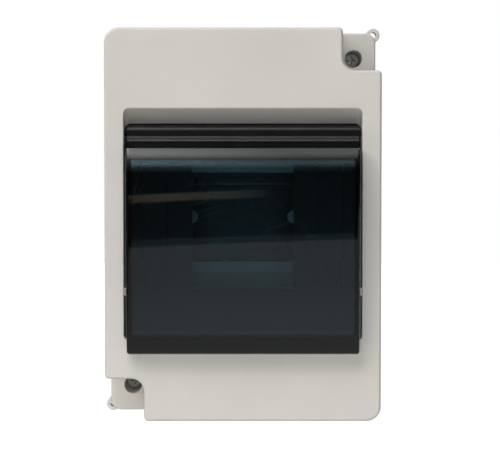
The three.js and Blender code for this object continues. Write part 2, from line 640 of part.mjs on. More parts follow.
// The door's taper from the front: widest at its rear edge, narrowest at its face.
function doorTaper(inset) {
  const back = DOOR_PIVOT_Z - DOOR_KNUCKLE - OVERCUT;
  const rear = DOOR_REAR_WIDTH / 2 - inset;
  const face = DOOR_FACE_WIDTH / 2 - inset;
  const taper = new THREE.Shape();
  taper.moveTo(-rear, -back);
  taper.lineTo(-rear, -DOOR_REAR_Z);
  taper.lineTo(-face, -DOOR_CROWN_Z - OVERCUT);
  taper.lineTo(face, -DOOR_CROWN_Z - OVERCUT);
  taper.lineTo(rear, -DOOR_REAR_Z);
  taper.lineTo(rear, -back);
  const tall = 2 * CASE_HEIGHT;
  const options = { depth: tall, bevelEnabled: false };
  const geometry = new THREE.ExtrudeGeometry(taper, options).rotateX(-RIGHT_ANGLE);
  return solid(geometry.translate(0, -tall / 2, 0));
}

// The smoked door: a shallow hollow shell on two trunnions.
function makeDoor() {
  const half = DOOR_REAR_WIDTH / 2;
  let door = sideProfile(doorProfile(0), -half, half).intersect(doorTaper(0));
  const room = sideProfile(doorProfile(DOOR_WALL), -half, half).intersect(doorTaper(DOOR_WALL));
  door = door.subtract(room);
  const reach = half + TRUNNION_LENGTH;
  const left = crossRod(TRUNNION_RADIUS, -reach, -half + OVERCUT, DOOR_PIVOT_Y, DOOR_PIVOT_Z);
  return door.add(left).add(crossRod(TRUNNION_RADIUS, half - OVERCUT, reach, DOOR_PIVOT_Y, DOOR_PIVOT_Z));
}

// Places of the clamps along a terminal bar, from its middle.
function clampPlaces() {
  const middle = (BAR_CLAMPS - 1) / 2;
  return Array.from({ length: BAR_CLAMPS }, (_, i) => (i - middle) * BAR_CLAMP_PITCH);
}

const BAR_BACK_Z = BASE_FLOOR + SEAT_GAP + HOLDER_RISE + SEAT_GAP;
const BAR_FRONT_Z = BAR_BACK_Z + BAR_SIDE;

// The holder: a raised tray with end cheeks, pushed over the two pegs.
function makeHolder(side) {
  const x = side * BAR_SHIFT;
  const y = side * BAR_Y;
  const back = BASE_FLOOR + SEAT_GAP;
  const half = HOLDER_LENGTH / 2;
  const tall = HOLDER_HEIGHT / 2;
  const front = BAR_BACK_Z + BAR_SIDE * 0.6;
  let holder = box([x - half, x + half], [y - tall, y + tall], [back, front]);
  const trayHalf = BAR_LENGTH / 2 + SLIDE_GAP;
  const trayTall = BAR_SIDE / 2 + SLIDE_GAP;
  const tray = box([x - trayHalf, x + trayHalf], [y - trayTall, y + trayTall], [BAR_BACK_Z - SEAT_GAP, front + 1]);
  holder = holder.subtract(tray);
  for (const place of clampPlaces()) {
    const gap = [x + place - BAR_WIRE_RADIUS - 0.4, x + place + BAR_WIRE_RADIUS + 0.4];
    holder = holder.subtract(box(gap, [y - tall - 1, y + tall + 1], [BAR_BACK_Z + 0.6, front + 1]));
  }
  const reach = half - HOLDER_PEG_FROM_END;
  for (const peg of [-reach, reach]) {
    const hole = rod(HOLDER_PEG_RADIUS + SLIDE_GAP, x + peg, y, back - 1, front + 1, SMALL_ROUND_SIDES);
    holder = holder.subtract(hole);
  }
  return holder;
}

// The brass bar, with a cross hole for each wire and a tapped hole for its screw.
function makeBar(side) {
  const x = side * BAR_SHIFT;
  const y = side * BAR_Y;
  const half = BAR_LENGTH / 2;
  const tall = BAR_SIDE / 2;
  let bar = box([x - half, x + half], [y - tall, y + tall], [BAR_BACK_Z, BAR_FRONT_Z]);
  const wireZ = BAR_BACK_Z + BAR_SIDE * 0.42;
  for (const place of clampPlaces()) {
    const wire = uprightRod(BAR_WIRE_RADIUS, x + place, y - tall - 1, y + tall + 1, wireZ, SMALL_ROUND_SIDES);
    const tapped = TERMINAL_SCREW_RADIUS + PIVOT_GAP;
    const tapZ = BAR_BACK_Z + TERMINAL_TAP_BOTTOM;
    const hole = rod(tapped, x + place, y, tapZ, BAR_FRONT_Z + 1, SMALL_ROUND_SIDES);
    bar = bar.subtract(wire).subtract(hole);
  }
  return bar;
}

// A slotted clamp screw, standing a little out of its bar.
function makeTerminalScrew(side, place) {
  const x = side * BAR_SHIFT + place;
  const y = side * BAR_Y;
  const top = BAR_FRONT_Z + TERMINAL_SCREW_STAND;
  const body = rod(TERMINAL_SCREW_RADIUS, x, y, top - TERMINAL_SCREW_LENGTH, top, SMALL_ROUND_SIDES);
  const half = DRIVER_SLOT_WIDTH / 2;
  return body.subtract(box([x - 3, x + 3], [y - half, y + half], [top - 1, top + 1]));
}

// A rubber grommet with a closed membrane, gripping the edge of a cable entry.
function makeGrommet(x) {
  const outside = -HALF_HEIGHT;
  const hole = ENTRY_SIDE_RADIUS - SLIDE_GAP;
  const lip = ENTRY_SIDE_RADIUS + GROMMET_LIP;
  const outer = outside - SEAT_GAP;
  const inner = outside + BASE_WALL + SEAT_GAP;
  const wall = 1.6;
  const profile = [
    [0, outer - GROMMET_DOME],
    [hole - 5, outer - GROMMET_DOME],
    [hole - wall, outer - GROMMET_LIP_THICKNESS],
    [lip, outer - GROMMET_LIP_THICKNESS],
    [lip, outer],
    [hole, outer],
    [hole, inner],
    [lip - 0.4, inner],
    [lip - 0.8, inner + GROMMET_LIP_THICKNESS],
    [hole - wall, inner + GROMMET_LIP_THICKNESS],
    [hole - wall, outer - GROMMET_LIP_THICKNESS + GROMMET_MEMBRANE],
    [hole - 5, outer - GROMMET_DOME + GROMMET_MEMBRANE],
    [0, outer - GROMMET_DOME + GROMMET_MEMBRANE],
  ].map(([radius, y]) => new THREE.Vector2(radius, y));
  return solid(new THREE.LatheGeometry(profile, ROUND_SIDES).translate(x, 0, ENTRY_Z));
}

const finishes = {
  shell: { color: 0xcac7c1, roughness: 0.5, metalness: 0 },
  smoked: { color: 0x14181b, roughness: 0.08, metalness: 0 },
  black: { color: 0x131416, roughness: 0.55, metalness: 0 },
  white: { color: 0xe2e4e3, roughness: 0.5, metalness: 0 },
  zinc: { color: 0xa7abad, roughness: 0.35, metalness: 1 },
  screwSteel: { color: 0x7d8482, roughness: 0.4, metalness: 1 },
  brass: { color: 0xb8974e, roughness: 0.35, metalness: 1 },
  red: { color: 0x9c2a22, roughness: 0.5, metalness: 0 },
  blue: { color: 0x24508c, roughness: 0.5, metalness: 0 },
  rubber: { color: 0x7f8284, roughness: 0.8, metalness: 0 },
};

const assembly = new THREE.Group();
assembly.rotation.x = RIGHT_ANGLE;

// Adds a solid to the assembly as a named mesh.
function addPiece(name, piece, finish) {
  const { vertProperties, triVerts } = piece.getMesh();
  const geometry = new THREE.BufferGeometry();
  geometry.setAttribute("position", new THREE.BufferAttribute(new Float32Array(vertProperties), 3));
  geometry.setIndex(new THREE.BufferAttribute(new Uint32Array(triVerts), 1));
  geometry.computeVertexNormals();
  const mesh = new THREE.Mesh(geometry, new THREE.MeshStandardMaterial(finishes[finish]));
  mesh.name = name;
  assembly.add(mesh);
}

addPiece("base", makeBase(), "shell");
addPiece("cover", makeCover(), "shell");
addPiece("door", makeDoor(), "smoked");
addPiece("window_plate", makeWindowPlate(), "black");
const blankX = ((MODULES_OPEN + MODULES_TOTAL) / 4) * MODULE_WIDTH;
addPiece("blank_left", makeBlank(-blankX), "black");
addPiece("blank_right", makeBlank(blankX), "black");
addPiece("rail_support", makeRailSupport(), "white");
addPiece("din_rail", makeRail(), "zinc");
addPiece("rail_screw_left", makeRailScrew(-1), "screwSteel");
addPiece("rail_screw_right", makeRailScrew(1), "screwSteel");
addPiece("cover_screw_upper", makeCoverScrew(1), "screwSteel");
addPiece("cover_screw_lower", makeCoverScrew(-1), "screwSteel");
addPiece("grommet_left", makeGrommet(-ENTRY_SIDE_X), "rubber");
addPiece("grommet_right", makeGrommet(ENTRY_SIDE_X), "rubber");
for (const [pole, side, holderFinish] of [["positive", 1, "red"], ["negative", -1, "blue"]]) {
  addPiece(`${pole}_holder`, makeHolder(side), holderFinish);
  addPiece(`${pole}_bar`, makeBar(side), "brass");
  clampPlaces().forEach((place, i) => {
    addPiece(`${pole}_screw_${i + 1}`, makeTerminalScrew(side, place), "screwSteel");
  });
}

export default assembly;
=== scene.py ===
import math
import bpy
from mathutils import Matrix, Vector


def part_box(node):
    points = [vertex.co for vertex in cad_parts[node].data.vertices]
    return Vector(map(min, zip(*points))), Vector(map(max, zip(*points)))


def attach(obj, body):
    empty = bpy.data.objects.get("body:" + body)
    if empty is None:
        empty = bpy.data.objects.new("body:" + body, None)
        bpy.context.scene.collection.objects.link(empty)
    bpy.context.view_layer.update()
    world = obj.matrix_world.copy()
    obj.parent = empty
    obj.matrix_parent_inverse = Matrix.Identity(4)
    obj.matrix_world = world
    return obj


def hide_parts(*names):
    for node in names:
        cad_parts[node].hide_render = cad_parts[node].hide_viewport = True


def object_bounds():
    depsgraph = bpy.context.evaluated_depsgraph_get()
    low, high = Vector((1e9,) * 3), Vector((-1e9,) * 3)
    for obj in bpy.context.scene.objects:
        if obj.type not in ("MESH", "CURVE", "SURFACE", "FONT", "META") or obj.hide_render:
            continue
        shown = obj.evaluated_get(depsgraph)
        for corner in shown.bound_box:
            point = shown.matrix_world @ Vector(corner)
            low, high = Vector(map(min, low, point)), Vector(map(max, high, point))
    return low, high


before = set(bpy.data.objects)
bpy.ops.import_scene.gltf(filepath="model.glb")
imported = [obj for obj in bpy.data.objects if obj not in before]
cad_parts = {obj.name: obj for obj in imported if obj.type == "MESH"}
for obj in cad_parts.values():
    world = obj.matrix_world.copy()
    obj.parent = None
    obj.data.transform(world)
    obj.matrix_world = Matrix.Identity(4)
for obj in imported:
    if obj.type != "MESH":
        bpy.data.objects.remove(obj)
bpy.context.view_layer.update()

mm = 0.001
print("frame loaded:", len(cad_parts), "nodes")


# Tools. Every size and place below is in millimetres.

def place(node):  # a node's two corners, in millimetres
    low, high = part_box(node)
    return low / mm, high / mm


def centreOf(node):  # the x and z of a node's middle
    low, high = place(node)
    return (low.x + high.x) / 2, (low.z + high.z) / 2


def pickOnly(*pieces):
    active = bpy.context.object
    if active and active.mode != "OBJECT":
        bpy.ops.object.mode_set(mode="OBJECT")
    bpy.ops.object.select_all(action="DESELECT")
    for piece in pieces:
        piece.select_set(True)
        bpy.context.view_layer.objects.active = piece


def settle():  # the new primitive's place and size go into its mesh
    bpy.ops.object.transform_apply(location=True, rotation=True, scale=True)
    return bpy.context.object


def block(low, high):
    pickOnly()
    middle = [(a + b) / 2 * mm for a, b in zip(low, high)]
    bpy.ops.mesh.primitive_cube_add(size=1, location=middle)
    bpy.context.object.scale = [(b - a) * mm for a, b in zip(low, high)]
    return settle()


def rod(radius, start, end, sides=48):  # a round bar from one point to another
    start, end = Vector(start) * mm, Vector(end) * mm
    pickOnly()
    turn = (end - start).to_track_quat("Z", "Y").to_euler()
    bpy.ops.mesh.primitive_cylinder_add(
        vertices=sides, radius=radius * mm, depth=(end - start).length,
        location=(start + end) / 2, rotation=turn)
    return settle()


def openMesh():
    bpy.ops.object.mode_set(mode="EDIT")
    bpy.ops.mesh.select_all(action="SELECT")


def closeMesh():  # faces outwards, back to object mode
    bpy.ops.mesh.select_all(action="SELECT")
    bpy.ops.mesh.normals_make_consistent(inside=False)
    bpy.ops.object.mode_set(mode="OBJECT")


def profileBar(points, x0, x1):  # a closed outline of (y, z) points drawn out along x
    pickOnly()
    bpy.ops.mesh.primitive_circle_add(vertices=len(points), radius=mm, fill_type="NGON")
    piece = settle()
    for vertex, (y, z) in zip(piece.data.vertices, points):
        vertex.co = Vector((x0, y, z)) * mm
    openMesh()
    bpy.ops.mesh.extrude_region_move(TRANSFORM_OT_translate={"value": ((x1 - x0) * mm, 0, 0)})
    closeMesh()
    return piece


# a lathe form: (radius, height) steps from its foot towards a side
def turned(profile, foot, towards, sides=48):
    pickOnly()
    radius, height = profile[0]
    bpy.ops.mesh.primitive_circle_add(vertices=sides, radius=radius * mm, fill_type="NGON",
                                      location=(0, 0, height * mm))
    piece = settle()
    openMesh()
    for nextRadius, nextHeight in profile[1:]:
        rise = (nextHeight - height) * mm
        bpy.ops.mesh.extrude_region_move(TRANSFORM_OT_translate={"value": (0, 0, rise)})
        grow = nextRadius / radius
        bpy.ops.transform.resize(value=(grow, grow, 1), center_override=(0, 0, nextHeight * mm))
        radius, height = nextRadius, nextHeight
    closeMesh()
    piece.rotation_euler = Vector(towards).to_track_quat("Z", "Y").to_euler()
    piece.location = Vector(foot) * mm
    return settle()


def combine(piece, other, how):
    pickOnly(piece)
    bpy.ops.object.modifier_add(type="BOOLEAN")
    step = piece.modifiers[-1]
    step.operation = how
    step.solver = "EXACT"
    step.object = other
    bpy.ops.object.modifier_apply(modifier=step.name)
    bpy.data.objects.remove(other)
    return piece


def cut(piece, *others):
    for other in others:
        combine(piece, other, "DIFFERENCE")
    return piece


def weld(piece, *others):
    for other in others:
        combine(piece, other, "UNION")
    return piece


def tidyFaces(piece, angle=0.05):  # joins faces that lie in one plane and drops spare points
    pickOnly(piece)
    openMesh()
    bpy.ops.mesh.remove_doubles(threshold=0.002 * mm)
    bpy.ops.mesh.dissolve_limited(angle_limit=math.radians(angle))
    bpy.ops.object.mode_set(mode="OBJECT")
    return piece


def pickEdges(piece, test):  # test sees the two ends of each edge, in millimetres
    pickOnly(piece)
    bpy.ops.object.mode_set(mode="EDIT")
    bpy.ops.mesh.select_mode(type="EDGE")
    bpy.ops.mesh.select_all(action="DESELECT")
    bpy.ops.object.mode_set(mode="OBJECT")
    ends = [v.co / mm for v in piece.data.vertices]
    found = 0
    for edge in piece.data.edges:
        edge.select = bool(test(ends[edge.vertices[0]], ends[edge.vertices[1]]))
        found += edge.select
    bpy.ops.object.mode_set(mode="EDIT")
    return found


def roundEdges(piece, width, steps, test):
    found = pickEdges(piece, test)
    if found:
        bpy.ops.mesh.bevel(offset=width * mm, offset_type="OFFSET", segments=steps, profile=0.5,
                           affect="EDGES")
    else:
        print("no edge to round on", piece.name, width)
    bpy.ops.object.mode_set(mode="OBJECT")
    return piece


def softenEdges(piece, width, steps=2, angle=40):  # rounds every sharp edge a little
    pickOnly(piece)
    bpy.ops.object.modifier_add(type="BEVEL")
    step = piece.modifiers[-1]
    step.width = width * mm
    step.segments = steps
    step.limit_method = "ANGLE"
    step.angle_limit = math.radians(angle)
    step.use_clamp_overlap = True
    bpy.ops.object.modifier_apply(modifier=step.name)
    return piece


def finishPiece(piece, name, nodes, body, finish, angle=35):
    pickOnly(piece)
    piece.name = name
    piece.data.name = name
    bpy.ops.object.shade_smooth_by_angle(angle=math.radians(angle))
    bpy.ops.object.modifier_add(type="WEIGHTED_NORMAL")
    step = piece.modifiers[-1]
    step.keep_sharp = True
    step.weight = 90
    bpy.ops.object.modifier_apply(modifier=step.name)
    piece.data.materials.clear()
    piece.data.materials.append(materials[finish])
    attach(piece, body)
    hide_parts(*nodes)
    return piece


def along(a, b, axis):  # an edge that runs along one axis only
    return all(abs(a[i] - b[i]) < 0.01 for i in range(3)
               if i != axis) and abs(a[axis] - b[axis]) > 0.05


def throughY(a, b):  # an edge that runs from front to back
    return along(a, b, 1)


def at(value, target, room=0.02):
    return abs(value - target) < room


def inPlane(y):  # a test for edges that lie at one depth
    return lambda a, b: at(a.y, y) and at(b.y, y)


def curve(start, bend, end, steps):  # points of a quadratic curve, its start left out
    return [tuple((1 - t) ** 2 * s + 2 * t * (1 - t) * m + t * t * e for s, m,
                  e in zip(start, bend, end)) for t in [(i + 1) / steps for i in range(steps)]]


# Finishes.

def addNode(tree, kind, inputs=(), **settings):
    node = tree.nodes.new(kind)
    for key, value in settings.items():
        setattr(node, key, value)
    for key, value in dict(inputs).items():
        if isinstance(value, bpy.types.NodeSocket):
            tree.links.new(value, node.inputs[key])
        else:
            node.inputs[key].default_value = value
    return node


def newGroup(name, inputs, outputs):
    group = bpy.data.node_groups.new(name, "ShaderNodeTree")
    for label, value in inputs.items():
        socket = group.interface.new_socket(name=label, in_out="INPUT",
                                            socket_type="NodeSocketFloat")
        socket.default_value = value
    for label in outputs:
        group.interface.new_socket(name=label, in_out="OUTPUT", socket_type="NodeSocketFloat")
    given = group.nodes.new("NodeGroupInput").outputs
    made = group.nodes.new("NodeGroupOutput").inputs
    return group, given, made


def link(tree, source, target):
    tree.links.new(source, target)


def stretch(tree, value, low, high, toLow=0.0, toHigh=1.0):
    node = addNode(tree, "ShaderNodeMapRange", {"Value": value, "From Min": low, "From Max": high,
                                                "To Min": toLow, "To Max": toHigh})
    return node.outputs["Result"]


def math2(tree, how, first, second):
    return addNode(tree, "ShaderNodeMath", {0: first, 1: second}, operation=how).outputs[0]


def times(tree, first, second):
    return math2(tree, "MULTIPLY", first, second)


def plus(tree, first, second):
    return math2(tree, "ADD", first, second)


def objectSpot(tree):
    return addNode(tree, "ShaderNodeTexCoord").outputs["Object"]


def noise(tree, spot, scale, detail, rough=0.5):
    return addNode(tree, "ShaderNodeTexNoise", {"Vector": spot, "Scale": scale, "Detail": detail,
                                                "Roughness": rough}).outputs["Fac"]


def makeGrain():  # spark-eroded mould texture, with a slow unevenness of the moulding
    tree, given, made = newGroup("mouldGrain", {"Fineness": 3000.0, "Depth": 1.0},
                                 ["Height", "Tone", "Speck"])
    spot = objectSpot(tree)
    fine = noise(tree, spot, given["Fineness"], 2.0, 0.6)
    pits = addNode(tree, "ShaderNodeTexVoronoi", {"Vector": spot,
                                                  "Scale": times(tree, given["Fineness"], 0.45)})
    wave = noise(tree, spot, 26.0, 3.0)
    rough = times(tree, fine, 0.7)
    grain = plus(tree, rough, times(tree, pits.outputs["Distance"], 0.3))
    link(tree, times(tree, grain, given["Depth"]), made["Height"])
    link(tree, wave, made["Tone"])
    dots = addNode(tree, "ShaderNodeTexVoronoi", {"Vector": spot, "Scale": 95.0, "Randomness": 1.0})
    link(tree, stretch(tree, dots.outputs["Distance"], 0.03, 0.015), made["Speck"])
    return tree


def makeWear():  # where an edge has rubbed, broken up so that it isn't an even line
    tree, given, made = newGroup("edgeWear", {"Width": 0.0004, "Breakup": 220.0}, ["Mask"])
    spot = objectSpot(tree)
    softened = addNode(tree, "ShaderNodeBevel", {"Radius": given["Width"]},
                       samples=4).outputs["Normal"]
    plain = addNode(tree, "ShaderNodeNewGeometry").outputs["Normal"]
    turn = addNode(tree, "ShaderNodeVectorMath", {0: softened, 1: plain},
                   operation="DOT_PRODUCT").outputs["Value"]
    patch = noise(tree, spot, given["Breakup"], 3.0)
    edge = stretch(tree, turn, 0.985, 0.86)
    link(tree, times(tree, edge, stretch(tree, patch, 0.35, 0.65)), made["Mask"])
    return tree


def makeScratches():  # fine straight hairlines in two directions, only in patches
    tree, given, made = newGroup("hairScratches", {"Amount": 0.5}, ["Mask"])
    spot = objectSpot(tree)
    layers = []
    for turn, seed in ((0.35, 0.0), (-0.9, 3.7), (1.25, 8.1)):
        slanted = addNode(tree, "ShaderNodeMapping", {"Vector": spot, "Rotation": (0.0, turn, 0.0),
                                                      "Location": (seed, 0.0, seed),
                                                      "Scale": (1.0, 0.2, 1.0)})
        drawn = addNode(tree, "ShaderNodeMapping", {"Vector": slanted.outputs[0],
                                                    "Scale": (45.0, 10.0, 5200.0)})
        lines = noise(tree, drawn.outputs[0], 1.0, 0.0)
        layers.append(stretch(tree, lines, 0.715, 0.76))
    patch = noise(tree, spot, 55.0, 2.0)
    both = math2(tree, "MAXIMUM", math2(tree, "MAXIMUM", layers[0], layers[1]), layers[2])
    masked = times(tree, both, stretch(tree, patch, 0.45, 0.62))
    link(tree, times(tree, masked, given["Amount"]), made["Mask"])
    return tree


def makeDust():  # settles on what faces up, thicker in patches
    tree, given, made = newGroup("settledDust", {"Amount": 0.3}, ["Mask"])
    spot = objectSpot(tree)
    facing = addNode(tree, "ShaderNodeSeparateXYZ",
                     {0: addNode(tree, "ShaderNodeNewGeometry").outputs["Normal"]}).outputs[2]
    motes = noise(tree, spot, 900.0, 4.0, 0.7)
    clouds = noise(tree, spot, 60.0, 2.0)
    lying = times(tree, stretch(tree, facing, 0.3, 0.95), stretch(tree, motes, 0.42, 0.62))
    drift = times(tree, lying, stretch(tree, clouds, 0.3, 0.7))
    link(tree, times(tree, drift, given["Amount"]), made["Mask"])
    return tree


grainGroup, wearGroup = makeGrain(), makeWear()
scratchGroup, dustGroup = makeScratches(), makeDust()
materials = {}


def placeGroup(tree, group, **values):
    node = addNode(tree, "ShaderNodeGroup", node_tree=group)
    for label, value in values.items():
        node.inputs[label].default_value = value
    return node.outputs


def newFinish(name):
    made = bpy.data.materials.new(name)
    made.use_nodes = True
    tree = made.node_tree
    materials[name] = made
    return tree, tree.nodes["Principled BSDF"]


def mixColour(tree, share, first, second):
    node = addNode(tree, "ShaderNodeMix", data_type="RGBA")
    for socket, value in zip((node.inputs[0], node.inputs[6], node.inputs[7]),
                             (share, first, second)):
        if isinstance(value, bpy.types.NodeSocket):
            link(tree, value, socket)
        else:
            socket.default_value = value
    return node.outputs[2]


def bumpFrom(tree, height, distance, strength=1.0):
    return addNode(tree, "ShaderNodeBump", {"Height": height, "Distance": distance,
                                            "Strength": strength}).outputs["Normal"]


# depth is the grain's, in metres; tone is the darker one of two that the colour drifts between
mouldings = {
    "shell_plastic": {"colour": (0.640, 0.617, 0.580), "tone": (0.600, 0.576, 0.536),
        "worn": (0.74, 0.72, 0.69), "rough": (0.40, 0.54),
        "fineness": 2600.0, "depth": 0.00003, "dust": 0.25, "wear": 0.35,
        "sheen": 0.22},
    "black_plastic": {"colour": (0.010, 0.0105, 0.011), "tone": (0.014, 0.014, 0.014),
        "worn": (0.02, 0.02, 0.02), "rough": (0.42, 0.60), "fineness": 2200.0,
        "depth": 0.00004, "dust": 0.35, "wear": 0.05, "sheen": 0.25},
    "white_plastic": {"colour": (0.74, 0.76, 0.76), "tone": (0.66, 0.68, 0.67),
        "worn": (0.8, 0.8, 0.8), "rough": (0.40, 0.55), "fineness": 2600.0,
        "depth": 0.00002, "dust": 0.3, "wear": 0.2},
    "red_plastic": {"colour": (0.34, 0.024, 0.016), "tone": (0.27, 0.018, 0.013),
        "worn": (0.5, 0.12, 0.09), "rough": (0.36, 0.5), "fineness": 2400.0,
        "depth": 0.00002, "dust": 0.3, "wear": 0.3},
    "blue_plastic": {"colour": (0.018, 0.08, 0.26), "tone": (0.013, 0.06, 0.2),
        "worn": (0.12, 0.2, 0.4), "rough": (0.36, 0.5), "fineness": 2400.0,
        "depth": 0.00002, "dust": 0.3, "wear": 0.3},
    "grommet_rubber": {"colour": (0.20, 0.21, 0.215), "tone": (0.16, 0.165, 0.17),
        "worn": (0.27, 0.28, 0.28), "rough": (0.62, 0.8), "fineness": 1800.0,
        "depth": 0.00004, "dust": 0.5, "wear": 0.25},
}
dustColour = (0.52, 0.49, 0.44, 1.0)
speckColour = (0.2, 0.18, 0.15, 1.0)
marks = {"speck": 0.35, "scratchGloss": 0.12, "dustMatt": 0.3, "scratchDepth": 0.5,
         "plasticIor": 1.5, "metalEdge": 0.6, "metalGloss": 0.08}


def moulded(name, look):
    tree, shader = newFinish(name)
    grain = placeGroup(tree, grainGroup, Fineness=look["fineness"], Depth=1.0)
    wear = placeGroup(tree, wearGroup, Width=0.0005, Breakup=240.0)
    dust = placeGroup(tree, dustGroup, Amount=look["dust"])
    rubs = placeGroup(tree, scratchGroup, Amount=0.6)
    body = mixColour(tree, stretch(tree, grain["Tone"], 0.3, 0.7), (*look["colour"], 1.0),
                     (*look["tone"], 1.0))
    specked = mixColour(tree, times(tree, grain["Speck"], marks["speck"]), body, speckColour)
    rubbed = mixColour(tree, times(tree, wear["Mask"], look["wear"]), specked, (*look["worn"], 1.0))
    link(tree, mixColour(tree, dust["Mask"], rubbed, dustColour), shader.inputs["Base Color"])
    low, high = look["rough"]
    rough = stretch(tree, grain["Tone"], 0.3, 0.7, low, high)
    worn = math2(tree, "SUBTRACT", rough, times(tree, rubs["Mask"], marks["scratchGloss"]))
    dusty = plus(tree, worn, times(tree, dust["Mask"], marks["dustMatt"]))
    link(tree, dusty, shader.inputs["Roughness"])
    height = math2(tree, "SUBTRACT", grain["Height"],
                   times(tree, rubs["Mask"], marks["scratchDepth"]))
    link(tree, bumpFrom(tree, height, look["depth"]), shader.inputs["Normal"])
    shader.inputs["IOR"].default_value = marks["plasticIor"]
    shader.inputs["Specular IOR Level"].default_value = look.get("sheen", 0.35)


for finishName, finishLook in mouldings.items():
    moulded(finishName, finishLook)

# drawn: which way the rolling or turning marks run, as the pattern's scale along x, y and z
metals = {
    "zinc_steel": {"colour": (0.36, 0.37, 0.38), "stain": (0.25, 0.26, 0.27),
        "rough": (0.16, 0.26), "drawn": (30.0, 2500.0, 2500.0), "depth": 0.00002},
    "screw_steel": {"colour": (0.66, 0.69, 0.67), "stain": (0.46, 0.48, 0.46), "rough": (0.34, 0.5),
        "metal": 0.4, "drawn": (900.0, 900.0, 900.0), "depth": 0.00003},
    "terminal_brass": {"colour": (0.50, 0.345, 0.12), "stain": (0.25, 0.14, 0.05),
        "rough": (0.24, 0.42), "drawn": (60.0, 2200.0, 2200.0), "depth": 0.00002},
}


def metallic(name, look):
    tree, shader = newFinish(name)
    spot = objectSpot(tree)
    drawn = addNode(tree, "ShaderNodeMapping", {"Vector": spot, "Scale": look["drawn"]}).outputs[0]
    lines = noise(tree, drawn, 1.0, 4.0, 0.65)
    clouds = noise(tree, spot, 140.0, 5.0, 0.6)
    wear = placeGroup(tree, wearGroup, Width=0.0003, Breakup=400.0)
    rubs = placeGroup(tree, scratchGroup, Amount=1.0)
    plain = mixColour(tree, stretch(tree, clouds, 0.42, 0.7), (*look["colour"], 1.0),
                      (*look["stain"], 1.0))
    bright = tuple(min(1.0, c * 1.5) for c in look["colour"])
    link(tree, mixColour(tree, times(tree, wear["Mask"], marks["metalEdge"]), plain,
                         (*bright, 1.0)), shader.inputs["Base Color"])
    low, high = look["rough"]
    rough = stretch(tree, times(tree, plus(tree, lines, clouds), 0.5), 0.35, 0.65, low, high)
    link(tree, math2(tree, "SUBTRACT", rough, times(tree, rubs["Mask"], marks["metalGloss"])),
         shader.inputs["Roughness"])
    shader.inputs["Metallic"].default_value = look.get("metal", 1.0)
    link(tree, bumpFrom(tree, lines, look["depth"]), shader.inputs["Normal"])


for finishName, finishLook in metals.items():
    metallic(finishName, finishLook)

# the tint of one wall, and of one face of it for the lamps
# thick is what is left of each at the lip, brow and sides
smoked = {"tint": (0.31, 0.51, 0.60, 1.0), "lampTint": (0.62, 0.76, 0.80, 1.0),
          "thickTint": (0.02, 0.026, 0.03, 1.0), "thickLampTint": (0.12, 0.14, 0.15, 1.0),
          "faceHalfWidth": 0.0384, "faceTop": 0.0245, "faceBottom": -0.0388, "rough": (0.0, 0.006),
          "mattAbove": 0.0268, "matt": 0.42, "scratched": 0.22, "waviness": 0.000012, "ior": 1.58}


def smokedPlastic(name, look):  # lamps reach what is behind it straight through the tint
    tree, shader = newFinish(name)
    spot = objectSpot(tree)
    hairs = placeGroup(tree, scratchGroup, Amount=1.0)["Mask"]
    haze = noise(tree, spot, 70.0, 4.0, 0.55)
    scuffs = noise(tree, spot, 420.0, 5.0, 0.7)
    spots = times(tree, stretch(tree, scuffs, 0.66, 0.74), stretch(tree, haze, 0.5, 0.64))
    low, high = look["rough"]
    rough = plus(tree, stretch(tree, haze, 0.35, 0.65, low, high),
                 times(tree, hairs, look["scratched"]))
    across = addNode(tree, "ShaderNodeSeparateXYZ", {0: spot}).outputs
    matt = stretch(tree, across[2], look["mattAbove"], look["mattAbove"] + 0.0005, 0.0,
                   look["matt"])
    marked = plus(tree, rough, times(tree, spots, 0.3))
    link(tree, plus(tree, marked, matt), shader.inputs["Roughness"])
    aside = stretch(tree, math2(tree, "ABSOLUTE", across[0], 0.0), look["faceHalfWidth"],
                    look["faceHalfWidth"] - 0.0004)
    under = stretch(tree, across[2], look["faceTop"], look["faceTop"] - 0.0006)
    over = stretch(tree, across[2], look["faceBottom"], look["faceBottom"] + 0.0006)
    thin = times(tree, times(tree, aside, under), over)
    link(tree, mixColour(tree, thin, look["thickTint"], look["tint"]), shader.inputs["Base Color"])
    shader.inputs["IOR"].default_value = look["ior"]
    shader.inputs["Transmission Weight"].default_value = 1.0
    wave = noise(tree, spot, 22.0, 1.0)
    height = math2(tree, "SUBTRACT", wave, times(tree, hairs, 0.02))
    link(tree, bumpFrom(tree, height, look["waviness"]), shader.inputs["Normal"])
    lampTint = mixColour(tree, thin, look["thickLampTint"], look["lampTint"])
    clear = addNode(tree, "ShaderNodeBsdfTransparent", {"Color": lampTint}).outputs[0]
    lamps = addNode(tree, "ShaderNodeLightPath").outputs["Is Shadow Ray"]
    swap = addNode(tree, "ShaderNodeMixShader", {0: lamps, 1: shader.outputs[0], 2: clear})
    link(tree, swap.outputs[0], tree.nodes["Material Output"].inputs["Surface"])


smokedPlastic("smoked_plastic", smoked)
print("finishes made:", len(materials))


# The case: what the cover and the base share.

case = {"lugReach": 2.8134, "lugRadius": 2.5, "lugHole": 1.15, "lugThickness": 1.6, "lugRound": 0.3,
        "bigCorner": 5.0, "notchedCorner": 4.0, "setBack": 0.3, "wall": 2.0, "seamGap": 0.12,
        "seamRound": 0.18, "notchWidth": 13.5, "notchHeight": 14.8, "notchInner": 4.4,
        "screwInset": 5.25}
coverLow, coverHigh = place("cover")
baseLow, baseHigh = place("base")
plateLow, plateHigh = place("window_plate")
frontY, seamY = coverLow.y, coverHigh.y
halfWidth = coverHigh.x - case["lugReach"]
halfHeight = coverHigh.z - case["lugReach"]
notchX = halfWidth - case["notchWidth"]
notchZ = halfHeight - case["notchHeight"]
lugX = coverHigh.x - case["lugRadius"]
lugZ = coverHigh.z - case["lugRadius"]
screwX = notchX + case["screwInset"]
screwZ = notchZ + case["screwInset"]
lugFace = seamY - case["lugThickness"]


